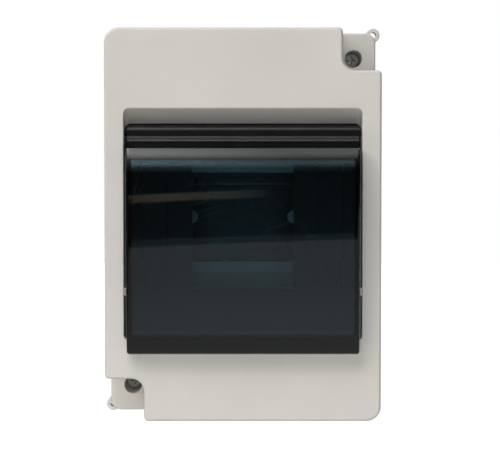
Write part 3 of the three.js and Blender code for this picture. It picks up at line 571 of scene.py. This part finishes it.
def caseBlock(inset, y0, y1, steps=8):  # the rounded outline of the case, pulled in by inset
    x, z = halfWidth - inset, halfHeight - inset
    piece = block((-x, y0, -z), (x, y1, z))
    roundEdges(piece, case["bigCorner"] - inset, steps, lambda a, b: along(a, b, 1)
               and a.x * a.z < 0)
    roundEdges(piece, case["notchedCorner"] - inset, steps, lambda a, b: along(a, b, 1)
               and a.x * a.z > 0 and at(abs(a.x), x) and at(abs(a.z), z))
    return piece


# the room of a notched corner: side 1 upper right, -1 lower left
def notchTool(side, grow, y0, y1):
    x, z = notchX - grow, notchZ - grow
    far = 20
    low = (x, y0, z) if side > 0 else (-halfWidth - far, y0, -halfHeight - far)
    high = (halfWidth + far, y1, halfHeight + far) if side > 0 else (-x, y1, -z)
    return roundEdges(block(low, high), case["notchInner"] + grow, 7,
                      lambda a, b: along(a, b, 1) and at(abs(a.x), x) and at(abs(a.z), z))


def addLugs(piece, y0, y1):  # the sealing rings, one over the other at the seam
    for x, z in ((lugX, lugZ), (-lugX, -lugZ)):
        weld(piece, rod(case["lugRadius"], (x, y0, z), (x, y1, z)))
        cut(piece, rod(case["lugHole"], (x, y0 - 1, z), (x, y1 + 1, z), 32))
    return piece


# Cover.

cover = {"face": 2.2, "edgeRound": 1.1, "floorDrop": 19.0, "floorRound": 0.8, "notchEdge": 1.5,
         "rebateDepth": 1.5, "rebateInset": 1.0, "wellRadius": 3.1, "wellWall": 1.5,
         "wellDepth": 11.5, "wellBottom": 2.0, "screwHole": 1.78, "wellRound": 0.35,
         "footRound": 0.25}
pocket = {"halfWidth": 41.3, "top": 40.4, "bottom": -40.0, "corner": 1.8, "wall": 1.8,
          "scoopDrop": 5.0, "scoopDepth": 8.2, "scoopSag": 1.1, "rimRound": 0.4, "stakeAside": 2.3,
          "stakeHeight": 30.0, "catchHeight": 2.7, "catchStand": 0.7, "catchZ": -23.2,
          "pivotRadius": 1.58, "pivotBack": 4.6, "pivotDrop": 2.1, "stakeRadius": 1.8,
          "stakePin": 0.8, "stakePast": 0.6, "catchRound": 0.3, "pivotDeep": 2.8}
floorY = frontY + cover["floorDrop"]
pocketRearY = plateLow.y - case["seamGap"]
doorLow, doorHigh = place("door")
pivotZ = doorHigh.z - pocket["pivotDrop"]
pivotY = frontY + pocket["pivotBack"]


def nearWell(point, radius):
    x, z = abs(point.x) - screwX, abs(point.z) - screwZ
    return point.x * point.z > 0 and abs(math.hypot(x, z) - radius) < 0.05


def coverShell():
    upper = caseBlock(0, frontY, seamY)
    for side in (1, -1):
        cut(upper, notchTool(side, 0, frontY - 5, seamY + 5))
    tidyFaces(upper)
    roundEdges(upper, cover["notchEdge"], 5, lambda a, b: along(a, b, 1)
               and (at(abs(a.x), halfWidth) and at(abs(a.z), notchZ) or at(abs(a.x), notchX)
                    and at(abs(a.z), halfHeight)))
    roundEdges(upper, cover["edgeRound"], 5, inPlane(frontY))
    lower = caseBlock(case["setBack"], floorY, seamY)
    roundEdges(lower, cover["floorRound"], 4, inPlane(floorY))
    foot = caseBlock(0, lugFace, seamY)
    roundEdges(foot, cover["footRound"], 2, inPlane(lugFace))
    shell = weld(upper, lower, foot)
    room = caseBlock(case["wall"], frontY + cover["face"], seamY + 5)
    for side in (1, -1):
        cut(room, notchTool(side, case["wall"], frontY - 5, floorY + case["wall"]))
    return cut(shell, room, caseBlock(cover["rebateInset"], seamY - cover["rebateDepth"],
                                      seamY + 5))


def pocketTool():
    top, drop, deep, sag = (pocket[key] for key in ("top", "scoopDrop", "scoopDepth", "scoopSag"))
    bend = (frontY + deep / 2 + sag, top - drop / 2 + sag)
    ramp = curve((frontY, top), bend, (frontY + deep, top - drop), 10)
    points = [(frontY - 2, pocket["bottom"]), (frontY - 2, top), (frontY, top), *ramp,
              (plateHigh.y + 1, top - drop), (plateHigh.y + 1, pocket["bottom"])]
    half = pocket["halfWidth"]
    tool = profileBar(points, -half, half)
    lowest = top - drop - 0.1
    return roundEdges(tool, pocket["corner"], 5, lambda a, b: at(abs(a.x), half) and at(a.x, b.x)
                      and (at(a.z, pocket["bottom"]) and at(b.z, pocket["bottom"]) or a.z > lowest
                           and b.z > lowest))


def stakePlaces():  # the four pins that hold the window plate
    aside, up = pocket["halfWidth"] + pocket["stakeAside"], pocket["stakeHeight"]
    return [(x * aside, z * up) for x in (-1, 1) for z in (-1, 1)]


def addPocket(shell):
    side, top = pocket["halfWidth"] + pocket["wall"], pocket["top"] + pocket["wall"]
    bottom = pocket["bottom"] - pocket["wall"]
    weld(shell, block((-side, frontY + cover["face"] / 2, bottom), (side, pocketRearY, top)))
    root = frontY + cover["face"]
    for x, z in stakePlaces():
        weld(shell, rod(pocket["stakeRadius"], (x, root - cover["face"] / 2, z),
                        (x, pocketRearY, z), 24), rod(pocket["stakePin"], (x, root, z),
                                                      (x, plateHigh.y + pocket["stakePast"], z),
                                                      24))
    cut(shell, pocketTool())
    for x in (-1, 1):
        wall = x * pocket["halfWidth"]
        inner, outer = sorted((wall + x * 0.5, wall - x * pocket["catchStand"]))
        high = pocket["catchHeight"] / 2
        nub = block((inner, frontY + 1, pocket["catchZ"] - high),
                    (outer, frontY + 4, pocket["catchZ"] + high))
        roundEdges(nub, pocket["catchRound"], 3, lambda a, b: abs(a.x) < abs(wall)
                   and abs(b.x) < abs(wall))
        weld(shell, nub)
        cut(shell, rod(pocket["pivotRadius"], (wall - x, pivotY, pivotZ),
                       (wall + x * pocket["pivotDeep"], pivotY, pivotZ)))
    return shell


def addWells(shell):
    seat = floorY + cover["wellDepth"]
    for side in (1, -1):
        x, z = side * screwX, side * screwZ
        weld(shell, rod(cover["wellRadius"] + cover["wellWall"], (x, floorY + 1, z),
                        (x, seat + cover["wellBottom"], z)))
        cut(shell, rod(cover["wellRadius"], (x, floorY - 1, z), (x, seat, z), 64),
            rod(cover["screwHole"], (x, seat - 1, z), (x, seat + cover["wellBottom"] + 1, z), 32))
    return shell


def makeCover():
    shell = addLugs(addWells(addPocket(coverShell())), lugFace, seamY)
    tidyFaces(shell)
    half, top, bottom = pocket["halfWidth"], pocket["top"], pocket["bottom"]
    roundEdges(shell, pocket["rimRound"], 4, lambda a, b: at(a.y, frontY) and at(b.y, frontY)
               and all(abs(p.x) < half + 0.05 and bottom - 0.05 < p.z < top + 0.05 for p in (a, b)))
    roundEdges(shell, cover["wellRound"], 3, lambda a, b: at(a.y, floorY) and at(b.y, floorY)
               and all(nearWell(p, cover["wellRadius"]) for p in (a, b)))
    roundEdges(shell, case["lugRound"], 3, lambda a, b: at(a.y, lugFace) and at(b.y, lugFace)
               and all(abs(math.hypot(abs(p.x) - lugX, abs(p.z) - lugZ) - case["lugRadius"]) < 0.03
                       for p in (a, b)))
    return finishPiece(shell, "cover_moulding", ["cover"], "cover", "shell_plastic")


makeCover()
print("cover made")


# Door.

door = {"wall": 1.9, "faceWidth": 79.6, "rearWidth": 80.6, "rearBack": 3.6, "knuckle": 2.1,
        "ledgeZ": 30.6, "ledgeDrop": 1.3, "ledgeRise": 1.4, "browZ": 26.7, "browRound": 8.4,
        "browDrop": 2.7, "lipBack": 4.4, "lipGap": 0.5, "overhang": 0.8, "sideRound": 1.0,
        "pivotRadius": 1.4, "lipRound": 0.7, "browBend": (0.2, 3.4), "faceBend": (0.1, -18.0),
        "pinRound": 0.25, "ledgeRound": 0.35}


def doorOutline(inset):  # the door from the side, as (y, z) points
    crown, lip = doorLow.y + inset, doorLow.y + door["lipBack"] + inset
    ledge, rear = pivotY - door["knuckle"] + inset, frontY + door["rearBack"]
    brow, bottom = door["browZ"] - inset, doorLow.z
    inside = pocket["bottom"] + door["overhang"]
    points = []
    if inset:
        rear += 3
        bottom = inside + inset
        points.append((rear, pivotZ - inset))
    else:
        for i in range(17):
            turn = math.pi * i / 16
            points.append((pivotY + door["knuckle"] * math.cos(turn),
                           pivotZ + door["knuckle"] * math.sin(turn)))
    points += [(ledge, door["ledgeZ"] - inset), (ledge - door["ledgeRise"],
                                                 door["ledgeZ"] - door["ledgeDrop"] - inset),
               (ledge - door["ledgeRise"], brow), (crown + door["browDrop"], brow)]
    browEnd = (crown, door["browZ"] - door["browRound"])
    bend, faceBend = door["browBend"], door["faceBend"]
    points += curve(points[-1], (crown + bend[0], brow - bend[1]), browEnd, 14)
    points += curve(browEnd, (crown + faceBend[0], faceBend[1]), (lip, bottom), 30)
    if inset:
        points.append((rear, bottom))
    else:
        points += [(frontY - door["lipGap"], doorLow.z), (frontY - door["lipGap"], inside),
                   (rear, inside), (rear, pivotZ - door["knuckle"])]
    return points


def doorSolid(inset):
    half = door["rearWidth"] / 2 - inset
    piece = profileBar(doorOutline(inset), -half, half)
    rear, face = frontY + door["rearBack"], doorLow.y
    narrow = (door["rearWidth"] - door["faceWidth"]) / 2
    for vertex in piece.data.vertices:  # the sides lean in towards the face
        share = max(0.0, (rear - vertex.co.y / mm) / (rear - face))
        vertex.co.x -= math.copysign(narrow * share * mm, vertex.co.x)
    return piece


def makeDoor():
    flap = doorSolid(0)
    edge = door["browZ"] + 0.05
    roundEdges(flap, door["ledgeRound"], 3, lambda a, b: along(a, b, 0) and a.z < door["ledgeZ"] + 1
               and a.z > edge - 0.1 and a.y < pivotY)
    roundEdges(flap, door["lipRound"], 4, lambda a, b: along(a, b, 0) and at(a.z, doorLow.z))
    roundEdges(flap, door["sideRound"], 5, lambda a, b: abs(a.x) > 30 and abs(b.x) > 30
               and a.x * b.x > 0 and all(p.y < frontY - 1.5 and p.z < door["browZ"] + 0.2
                                         for p in (a, b)) and a.y < doorLow.y + 7
               and b.y < doorLow.y + 7)
    cut(flap, doorSolid(door["wall"]))
    half = door["rearWidth"] / 2
    for side in (-1, 1):
        pin = rod(door["pivotRadius"], (side * (half - 1), pivotY, pivotZ),
                  (side * doorHigh.x, pivotY, pivotZ))
        roundEdges(pin, door["pinRound"], 2, lambda a, b: at(abs(a.x), doorHigh.x)
                   and at(abs(b.x), doorHigh.x))
        weld(flap, pin)
    return finishPiece(flap, "door_moulding", ["door"], "door", "smoked_plastic", angle=28)


makeDoor()
print("door made")


# Window plate and its blanks.

plate = {"corner": 2.0, "windowWidth": 71.4, "windowHeight": 45.8, "windowCorner": 0.6,
         "edgeRound": 0.25, "stakeHole": 1.0}
blank = {"face": 1.6, "leg": 1.4, "edgeRound": 0.35, "grooveWidth": 0.5, "grooveDepth": 0.35}


def makeWindowPlate():
    piece = block(plateLow, plateHigh)
    roundEdges(piece, plate["corner"], 5, throughY)
    x, z = plate["windowWidth"] / 2, plate["windowHeight"] / 2
    window = block((-x, plateLow.y - 1, -z), (x, plateHigh.y + 1, z))
    roundEdges(window, plate["windowCorner"], 3, throughY)
    cut(piece, window)
    for x, z in stakePlaces():
        cut(piece, rod(plate["stakeHole"], (x, plateLow.y - 1, z), (x, plateHigh.y + 1, z), 24))
    softenEdges(piece, plate["edgeRound"], 2, 60)
    return finishPiece(piece, "window_plate_moulding", ["window_plate"], "cover", "black_plastic")


# a face with a leg above and below, and a shallow break-off groove down its middle
def makeBlank(node):
    low, high = place(node)
    piece = block(low, high)
    legs = block((low.x - 1, low.y + blank["face"], low.z + blank["leg"]),
                 (high.x + 1, high.y + 1, high.z - blank["leg"]))
    centre, half = (low.x + high.x) / 2, blank["grooveWidth"] / 2
    bottom = low.y + blank["grooveDepth"]
    groove = block((centre - half, bottom - 2, low.z - 2), (centre + half, bottom, high.z + 2))
    cut(piece, legs, groove)
    softenEdges(piece, blank["edgeRound"], 3, 60)
    return finishPiece(piece, node + "_moulding", [node], "cover", "black_plastic")


makeWindowPlate()
makeBlank("blank_left")
makeBlank("blank_right")
print("window plate made")


# Base.

base = {"floor": 2.2, "rimHeight": 1.3, "rimInset": 1.2, "postRadius": 4.3, "postHole": 1.78,
        "rib": 2.0, "bossRadius": 4.2, "bossHole": 1.68, "entryY": -17.35, "centreEntry": 12.75,
        "sideEntry": 10.25, "grooveWidth": 0.7, "grooveDepth": 1.1, "slotX": 30.0, "slotZ": 37.0,
        "slotLength": 10.0, "slotWidth": 5.0, "pegRadius": 1.2, "pegHeight": 5.8, "pegFromEnd": 2.5,
        "backRound": 0.5, "postFoot": -12.5, "bossFoot": -0.55, "bossRise": 3.0}
seat = base["floor"] + case["seamGap"]
baseSeamY = seamY + case["seamGap"]


def slotTool(x, z):
    half, radius = base["slotLength"] / 2, base["slotWidth"] / 2
    tool = block((x - half, -10, z - radius), (x + half, 1, z + radius))
    return roundEdges(tool, radius - 0.01, 8, throughY)


def entryPlaces():
    for node in ("grommet_left", "grommet_right"):
        yield centreOf(node)[0], base["sideEntry"], True
    yield 0.0, base["centreEntry"], False


def makeBase():
    tray = caseBlock(0, baseSeamY, 0)
    roundEdges(tray, base["backRound"], 3, inPlane(0))
    weld(tray, caseBlock(base["rimInset"], seamY - base["rimHeight"], seamY + 3))
    cut(tray, caseBlock(case["wall"], seamY - 5, -base["floor"]))
    postTop = baseLow.y
    for side in (1, -1):
        x, z = side * screwX, side * screwZ
        ribTop = baseSeamY + 1
        towardsX = sorted((x, side * (halfWidth - 1)))
        towardsZ = sorted((z, side * (halfHeight - 1)))
        weld(tray, rod(base["postRadius"], (x, postTop, z), (x, -1, z)),
             block((towardsX[0], ribTop, z - 1), (towardsX[1], -1, z + 1)),
             block((x - 1, ribTop, towardsZ[0]), (x + 1, -1, towardsZ[1])))
        cut(tray, rod(base["postHole"], (x, postTop - 1, z), (x, base["postFoot"], z), 24))
    for node in ("rail_screw_left", "rail_screw_right"):
        x, top = centreOf(node)[0], -(seat + base["bossRise"] - case["seamGap"])
        weld(tray, rod(base["bossRadius"], (x, top, 0), (x, -1, 0)))
        cut(tray, rod(base["bossHole"], (x, top - 1, 0), (x, base["bossFoot"], 0), 24))
    for node in ("positive_holder", "negative_holder"):
        low, high = place(node)
        z = centreOf(node)[1]
        for x in (low.x + base["pegFromEnd"], high.x - base["pegFromEnd"]):
            weld(tray, rod(base["pegRadius"], (x, -base["pegHeight"], z), (x, -1, z), 24))
    entryY = base["entryY"]
    for x, radius, openBelow in entryPlaces():
        for side in (1, -1):
            outside = side * halfHeight
            if openBelow and side < 0:
                cut(tray, rod(radius, (x, entryY, outside - 2), (x, entryY, outside + 3), 64))
            else:
                deep = outside - side * base["grooveDepth"]
                ring = rod(radius, (x, entryY, deep), (x, entryY, outside + side * 2), 64)
                core = radius - base["grooveWidth"]
                cut(ring, rod(core, (x, entryY, deep - side), (x, entryY, outside + side * 3), 64))
                cut(tray, ring)
    for x in (-base["slotX"], base["slotX"]):
        for z in (-base["slotZ"], base["slotZ"]):
            cut(tray, slotTool(x, z))
    addLugs(tray, baseSeamY, baseSeamY + case["lugThickness"])
    tidyFaces(tray)
    roundEdges(tray, case["seamRound"], 2, lambda a, b: at(a.y, baseSeamY) and at(b.y, baseSeamY)
               and all(abs(p.x) > halfWidth - 6 or abs(p.z) > halfHeight - 0.5 for p in (a, b)))
    return finishPiece(tray, "base_moulding", ["base"], "wall_box", "shell_plastic")


makeBase()
print("base made")


# Rail and its support.

rail = {"gauge": 1.0, "channel": 13.5, "slotLength": 15.0, "slotWidth": 5.2, "slotPitch": 25.0}
support = {"corner": 1.5, "bossRoom": 4.4, "lipHeight": 1.2}


def makeRail():
    low, high = place("din_rail")
    gauge, channel, top = rail["gauge"], rail["channel"], high.z
    inner = channel - gauge
    front, back = low.y, high.y
    points = [(front, -top), (front + gauge, -top), (front + gauge, -channel), (back, -channel),
              (back, channel), (front + gauge, channel), (front + gauge, top), (front, top),
              (front, inner), (back - gauge, inner), (back - gauge, -inner), (front, -inner)]
    section = profileBar(points, low.x, high.x)
    roundEdges(section, 0.8, 4, lambda a, b: along(a, b, 0)
               and (at(abs(a.z), inner) and at(a.y, front) or at(abs(a.z), channel)
                    and at(a.y, back)))
    for x in (-rail["slotPitch"], rail["slotPitch"]):
        half, radius = rail["slotLength"] / 2, rail["slotWidth"] / 2
        tool = block((x - half, back - 3, -radius), (x + half, back + 1, radius))
        roundEdges(tool, radius - 0.01, 8, throughY)
        cut(section, tool)
    softenEdges(section, 0.12, 2, 50)
    return finishPiece(section, "din_rail_section", ["din_rail"], "wall_box", "zinc_steel")


def makeSupport():
    low, high = place("rail_support")
    slab = block(low, high)
    roundEdges(slab, support["corner"], 4, throughY)
    for node in ("rail_screw_left", "rail_screw_right"):
        x = centreOf(node)[0]
        cut(slab, rod(support["bossRoom"], (x, low.y - 1, 0), (x, high.y + 1, 0)))
    softenEdges(slab, 0.4, 3, 50)
    return finishPiece(slab, "rail_support_moulding", ["rail_support"], "wall_box", "white_plastic")


makeRail()
makeSupport()
print("rail made")


# Screws.

def crossTool(x, z, top, reach, width, depth):  # a cross recess that narrows as it goes in
    tool = None
    for across in ((reach, width / 2), (width / 2, reach)):
        arm = block((x - across[0], top - 1, z - across[1]),
                    (x + across[0], top + depth, z + across[1]))
        for vertex in arm.data.vertices:
            if vertex.co.y / mm > top:
                vertex.co.x = (x + (vertex.co.x / mm - x) * 0.5) * mm
                vertex.co.z = (z + (vertex.co.z / mm - z) * 0.5) * mm
        tool = weld(tool, arm) if tool else arm
    return tool


# the pan head's outline, as shares of its radius and height, and the thread
screw = {"head": [(1, 0.5), (0.94, 0.72), (0.8, 0.9), (0.55, 0.985), (0.3, 1)], "neck": 0.93,
         "skirt": 0.25, "core": 0.96, "tip": 0.15, "crossReach": 0.6, "crossWidth": 0.36,
         "crossPast": 0.6, "pitch": 0.9}


def makePanScrew(node, name, headHeight, shank, body):
    low, high = place(node)
    x, z = centreOf(node)
    radius = (high.x - low.x) / 2
    top, foot = low.y, high.y
    length = foot - top - headHeight
    core, neck = shank * screw["core"], (radius * screw["neck"], 0)
    stem = [(shank * screw["tip"], -length), (core, -length + shank), (core, -0.3), neck]
    head = [(radius, screw["skirt"])] + [(radius * r, headHeight * h) for r, h in screw["head"]]
    piece = turned(stem + head, (x, top + headHeight, z), (0, -1, 0))
    cut(piece, crossTool(x, z, top, radius * screw["crossReach"], radius * screw["crossWidth"],
                         headHeight + screw["crossPast"]))
    turns = int((length - shank - 1) / screw["pitch"])
    for i in range(turns):  # the thread, as close rings
        y = foot - shank - 0.3 - i * screw["pitch"]
        root = shank * 0.9
        ridge = [(root, -0.32), (shank, -0.05), (shank, 0.05), (root, 0.32)]
        weld(piece, turned(ridge, (x, y, z), (0, -1, 0), 24))
    return finishPiece(piece, name, [node], body, "screw_steel")


for label in ("upper", "lower"):
    makePanScrew("cover_screw_" + label, f"cover_screw_{label}_turned", 2.3, 1.6,
                 "cover_screw_" + label)
for label in ("left", "right"):
    makePanScrew("rail_screw_" + label, f"rail_screw_{label}_turned", 2.2, 1.5, "wall_box")
print("screws made")


# Terminal bars, their holders and clamp screws.

clamps = {"wireRadius": 2.3, "wireHeight": 0.42, "tapRadius": 2.18, "tapBottom": 1.2,
          "holderGap": 2.7, "holderBar": 0.2, "pegHole": 1.4, "slotWidth": 0.8, "slotDepth": 1.0}


def clampPlaces(pole):
    for i in range(1, 5):
        yield centreOf(f"{pole}_screw_{i}")


def makeBar(pole):
    low, high = place(pole + "_bar")
    depth = high.y - low.y
    bar = block(low, high)
    softenEdges(bar, 0.3, 2, 50)
    wireY = high.y - depth * clamps["wireHeight"]
    for x, z in clampPlaces(pole):
        cut(bar, rod(clamps["wireRadius"], (x, wireY, low.z - 1), (x, wireY, high.z + 1), 40),
            rod(clamps["tapRadius"], (x, low.y - 1, z), (x, high.y - clamps["tapBottom"], z), 40))
    return finishPiece(bar, pole + "_bar_sawn", [pole + "_bar"], "wall_box", "terminal_brass")


def makeHolder(pole, finish):
    low, high = place(pole + "_holder")
    barLow, barHigh = place(pole + "_bar")
    spare = clamps["holderBar"]
    holder = block(low, high)
    cut(holder, block((barLow.x - spare, low.y - 1, barLow.z - spare),
                      (barHigh.x + spare, barHigh.y + 0.12, barHigh.z + spare)))
    for x, z in clampPlaces(pole):
        gap = clamps["holderGap"]
        cut(holder, block((x - gap, low.y - 1, low.z - 1), (x + gap, barHigh.y - 0.6, high.z + 1)))
    for x in (low.x + base["pegFromEnd"], high.x - base["pegFromEnd"]):
        z = (low.z + high.z) / 2
        cut(holder, rod(clamps["pegHole"], (x, low.y - 1, z), (x, high.y + 1, z), 32))
    softenEdges(tidyFaces(holder), 0.25, 2, 50)
    return finishPiece(holder, pole + "_holder_moulding", [pole + "_holder"], "wall_box", finish)


def makeClampScrew(pole, number):
    node = f"{pole}_screw_{number}"
    low, high = place(node)
    x, z = centreOf(node)
    radius, length = (high.x - low.x) / 2, high.y - low.y
    thread = radius * 0.97
    outline = [(radius * 0.75, 0), (thread, 0.4), (thread, length - 0.35), (radius * 0.8, length)]
    piece = turned(outline, (x, high.y, z), (0, -1, 0), 40)
    half = clamps["slotWidth"] / 2
    cut(piece, block((x - 4, low.y - 1, z - half), (x + 4, low.y + clamps["slotDepth"], z + half)))
    return finishPiece(piece, node + "_turned", [node], f"{pole}_clamp_{number}", "screw_steel")


for pole, finish in (("positive", "red_plastic"), ("negative", "blue_plastic")):
    makeBar(pole)
    makeHolder(pole, finish)
    for number in range(1, 5):
        makeClampScrew(pole, number)
print("terminals made")


# Grommets.

grommet = {"hole": 10.05, "lip": 12.05, "lipThickness": 1.2, "dome": 3.0, "domeInset": 5.0,
           "wall": 1.6, "membrane": 1.0}


def makeGrommet(node):  # lathe forms: the outside, less the cup behind the membrane
    low, high = place(node)
    x, y = (low.x + high.x) / 2, (low.y + high.y) / 2
    hole, lip, dome, thick = (grommet[key] for key in ("hole", "lip", "dome", "lipThickness"))
    foot, top = low.z, high.z - low.z
    tip, bore, back = hole - grommet["domeInset"], hole - grommet["wall"], top - thick
    outside = [(tip - 1.5, 0.0), (tip, 0.15), (bore, dome - thick - 0.3), (lip - 0.3, dome - thick),
               (lip, dome - thick + 0.3), (lip, dome - 0.1), (lip - 0.2, dome), (hole, dome + 0.01),
               (hole, back - 0.01), (lip - 0.4, back), (lip - 0.6, back + 0.5), (lip - 1.0, top)]
    inside = [(tip, grommet["membrane"]), (bore, dome - thick + grommet["membrane"]),
              (bore, top + 1)]
    body = turned(outside, (x, y, foot), (0, 0, 1), 64)
    cup = turned(inside, (x, y, foot), (0, 0, 1), 64)
    cut(body, cup)
    return finishPiece(body, node + "_moulding", [node], "wall_box", "grommet_rubber")


makeGrommet("grommet_left")
makeGrommet("grommet_right")
print("grommets made")


# Studio: a plain pale floor, soft lights and the camera.

studio = {"floorDrop": 620.0, "floorSize": 16000.0, "cameraBack": 443.0, "cameraUp": 24.0,
          "cameraAside": -1.2, "tilt": 1.7475, "shiftX": 0.021, "shiftY": -0.06, "lens": 92.275}


def hideFrom(piece, *rays):
    for ray in rays:
        setattr(piece, "visible_" + ray, False)


def makeFloor():
    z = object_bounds()[0].z / mm - studio["floorDrop"]
    half = studio["floorSize"] / 2
    floor = block((-half, -half, z - 20), (half, half, z))
    floor.name = "studio_floor"
    made = bpy.data.materials.new("studio_floor")
    made.use_nodes = True
    tree = made.node_tree
    shader = tree.nodes["Principled BSDF"]
    shader.inputs["Base Color"].default_value = (0.9, 0.9, 0.9, 1)
    shader.inputs["Roughness"].default_value = 0.9
    shader.inputs["Emission Color"].default_value = (1, 1, 1, 1)
    shader.inputs["Emission Strength"].default_value = 1.0
    floor.data.materials.append(made)
    hideFrom(floor, "diffuse", "glossy", "transmission")


# round and lift are the lamp's direction from the box in degrees, negative round being to the left
lamps = {"key": {"round": -50, "lift": 35, "far": 1050, "size": 520, "power": 4.9,
                 "colour": (1.0, 0.99, 0.975)}, "overhead": {"round": -20, "lift": 60, "far": 1050,
        "size": 520, "power": 5.6, "colour": (1.0, 0.995, 0.985)},
         "side": {"round": 60, "lift": 0, "far": 1050, "size": 520, "power": 0.9,
                  "colour": (0.99, 0.995, 1.0)}, "bounce": {"round": -50, "lift": -35, "far": 1050,
        "size": 520, "power": 1.9, "colour": (1.0, 0.985, 0.96)},
         "table": {"round": 0, "lift": -50, "far": 420, "size": 300, "power": 0.7,
                   "colour": (1.0, 0.985, 0.965)}, "front": {"round": 0, "lift": -1, "far": 1000,
        "size": 260, "power": 1.8, "colour": (1.0, 1.0, 1.0)}, }


def addLamp(name, look):
    data = bpy.data.lights.new(name, "AREA")
    data.energy = look["power"]
    data.color = look["colour"]
    data.size = look["size"] * mm
    lamp = bpy.data.objects.new(name, data)
    bpy.context.collection.objects.link(lamp)
    turn, lift = math.radians(look["round"]), math.radians(look["lift"])
    away = Vector((math.sin(turn) * math.cos(lift), -math.cos(turn) * math.cos(lift),
                   math.sin(lift)))
    lamp.location = (Vector((0, frontY, 0)) + away * look["far"]) * mm
    lamp.rotation_euler = away.to_track_quat("Z", "Y").to_euler()
    hideFrom(lamp, "camera", "glossy", "transmission")


# the room as the smoked door mirrors it: how bright at each height (sine of the angle above level)
mirrored = {"tilt": 6.0, "heights": [(-1.0, 0.48), (-0.45, 0.44), (-0.25, 0.31), (-0.163, 0.31),
                                     (-0.159, 0.03), (0.02, 0.02), (0.242, 0.07), (0.57, 0.40),
                                     (0.80, 3.2), (1.0, 3.0)], "streak": (-0.066, -0.054),
            "streakBright": 0.35, "streakColour": (1.0, 0.8, 0.55, 1.0), "asideFrom": -0.12,
            "asideTo": 0.12, "left": 1.55, "right": 0.5, "asideAbove": 0.15, "streakEdge": 0.003,
            "streakEnds": (0.02, -0.03), "ambient": 0.07, "ambientColour": (0.94, 0.97, 1.0, 1)}


def addWorld():
    world = bpy.data.worlds.new("studio")
    bpy.context.scene.world = world
    world.use_nodes = True
    tree = world.node_tree
    back = tree.nodes["Background"]
    back.inputs["Color"].default_value = mirrored["ambientColour"]
    back.inputs["Strength"].default_value = mirrored["ambient"]
    way = addNode(tree, "ShaderNodeTexCoord").outputs["Generated"]
    tilted = (0, math.radians(mirrored["tilt"]), 0)
    leaning = addNode(tree, "ShaderNodeMapping", {"Vector": way, "Rotation": tilted}).outputs[0]
    parts = addNode(tree, "ShaderNodeSeparateXYZ", {0: leaning}).outputs
    level = 0.0
    steps = mirrored["heights"]
    # it climbs or falls from step to step
    for (start, before), (end, after) in zip(steps, steps[1:]):
        level = plus(tree, level, stretch(tree, parts[2], start, end, 0.0, after - before))
    aside = stretch(tree, parts[0], mirrored["asideFrom"], mirrored["asideTo"], mirrored["left"],
                    mirrored["right"])
    raised = stretch(tree, parts[2], 0.0, mirrored["asideAbove"])
    turnedUp = times(tree, math2(tree, "SUBTRACT", aside, 1.0), raised)
    total = times(tree, plus(tree, level, steps[0][1]), plus(tree, turnedUp, 1.0))
    (under, over), edge = mirrored["streak"], mirrored["streakEdge"]
    band = times(tree, stretch(tree, parts[2], under - edge, under),
                 stretch(tree, parts[2], over + edge, over))
    streak = times(tree, band, stretch(tree, parts[0], *mirrored["streakEnds"]))
    tone = mixColour(tree, streak, (1.0, 1.0, 1.0, 1.0), mirrored["streakColour"])
    bright = plus(tree, total, times(tree, streak, mirrored["streakBright"]))
    room = addNode(tree, "ShaderNodeBackground", {"Color": tone, "Strength": bright})
    seen = addNode(tree, "ShaderNodeBackground", {"Color": (1, 1, 1, 1), "Strength": 1.0})
    path = addNode(tree, "ShaderNodeLightPath").outputs
    mirrors = math2(tree, "MINIMUM", path["Glossy Depth"], 1.0)
    scattered = math2(tree, "MINIMUM", path["Diffuse Depth"], 1.0)
    straight = math2(tree, "SUBTRACT", 1.0, math2(tree, "MAXIMUM", mirrors, scattered))
    mirror = math2(tree, "MAXIMUM", path["Is Glossy Ray"],
                   times(tree, path["Is Transmission Ray"], mirrors))
    through = math2(tree, "MAXIMUM", path["Is Camera Ray"],
                    times(tree, path["Is Transmission Ray"], straight))
    gloss = addNode(tree, "ShaderNodeMixShader", {0: mirror, 1: back.outputs[0],
                                                  2: room.outputs[0]})
    both = addNode(tree, "ShaderNodeMixShader", {0: through, 1: gloss.outputs[0],
                                                 2: seen.outputs[0]})
    link(tree, both.outputs[0], tree.nodes["World Output"].inputs["Surface"])


def addCamera():
    data = bpy.data.cameras.new("camera")
    data.sensor_width = 36.0
    data.lens = studio["lens"]
    data.shift_x = studio["shiftX"]
    data.shift_y = studio["shiftY"]
    data.clip_start = 0.01
    camera = bpy.data.objects.new("camera", data)
    bpy.context.collection.objects.link(camera)
    camera.location = Vector((studio["cameraAside"], frontY - studio["cameraBack"],
                              studio["cameraUp"])) * mm
    camera.rotation_euler = (math.radians(90 - studio["tilt"]), 0, 0)
    bpy.context.scene.camera = camera


makeFloor()
for lampName, look in lamps.items():
    addLamp(lampName, look)
addWorld()
addCamera()
bpy.context.scene.view_settings.view_transform = "Standard"
print("studio made")
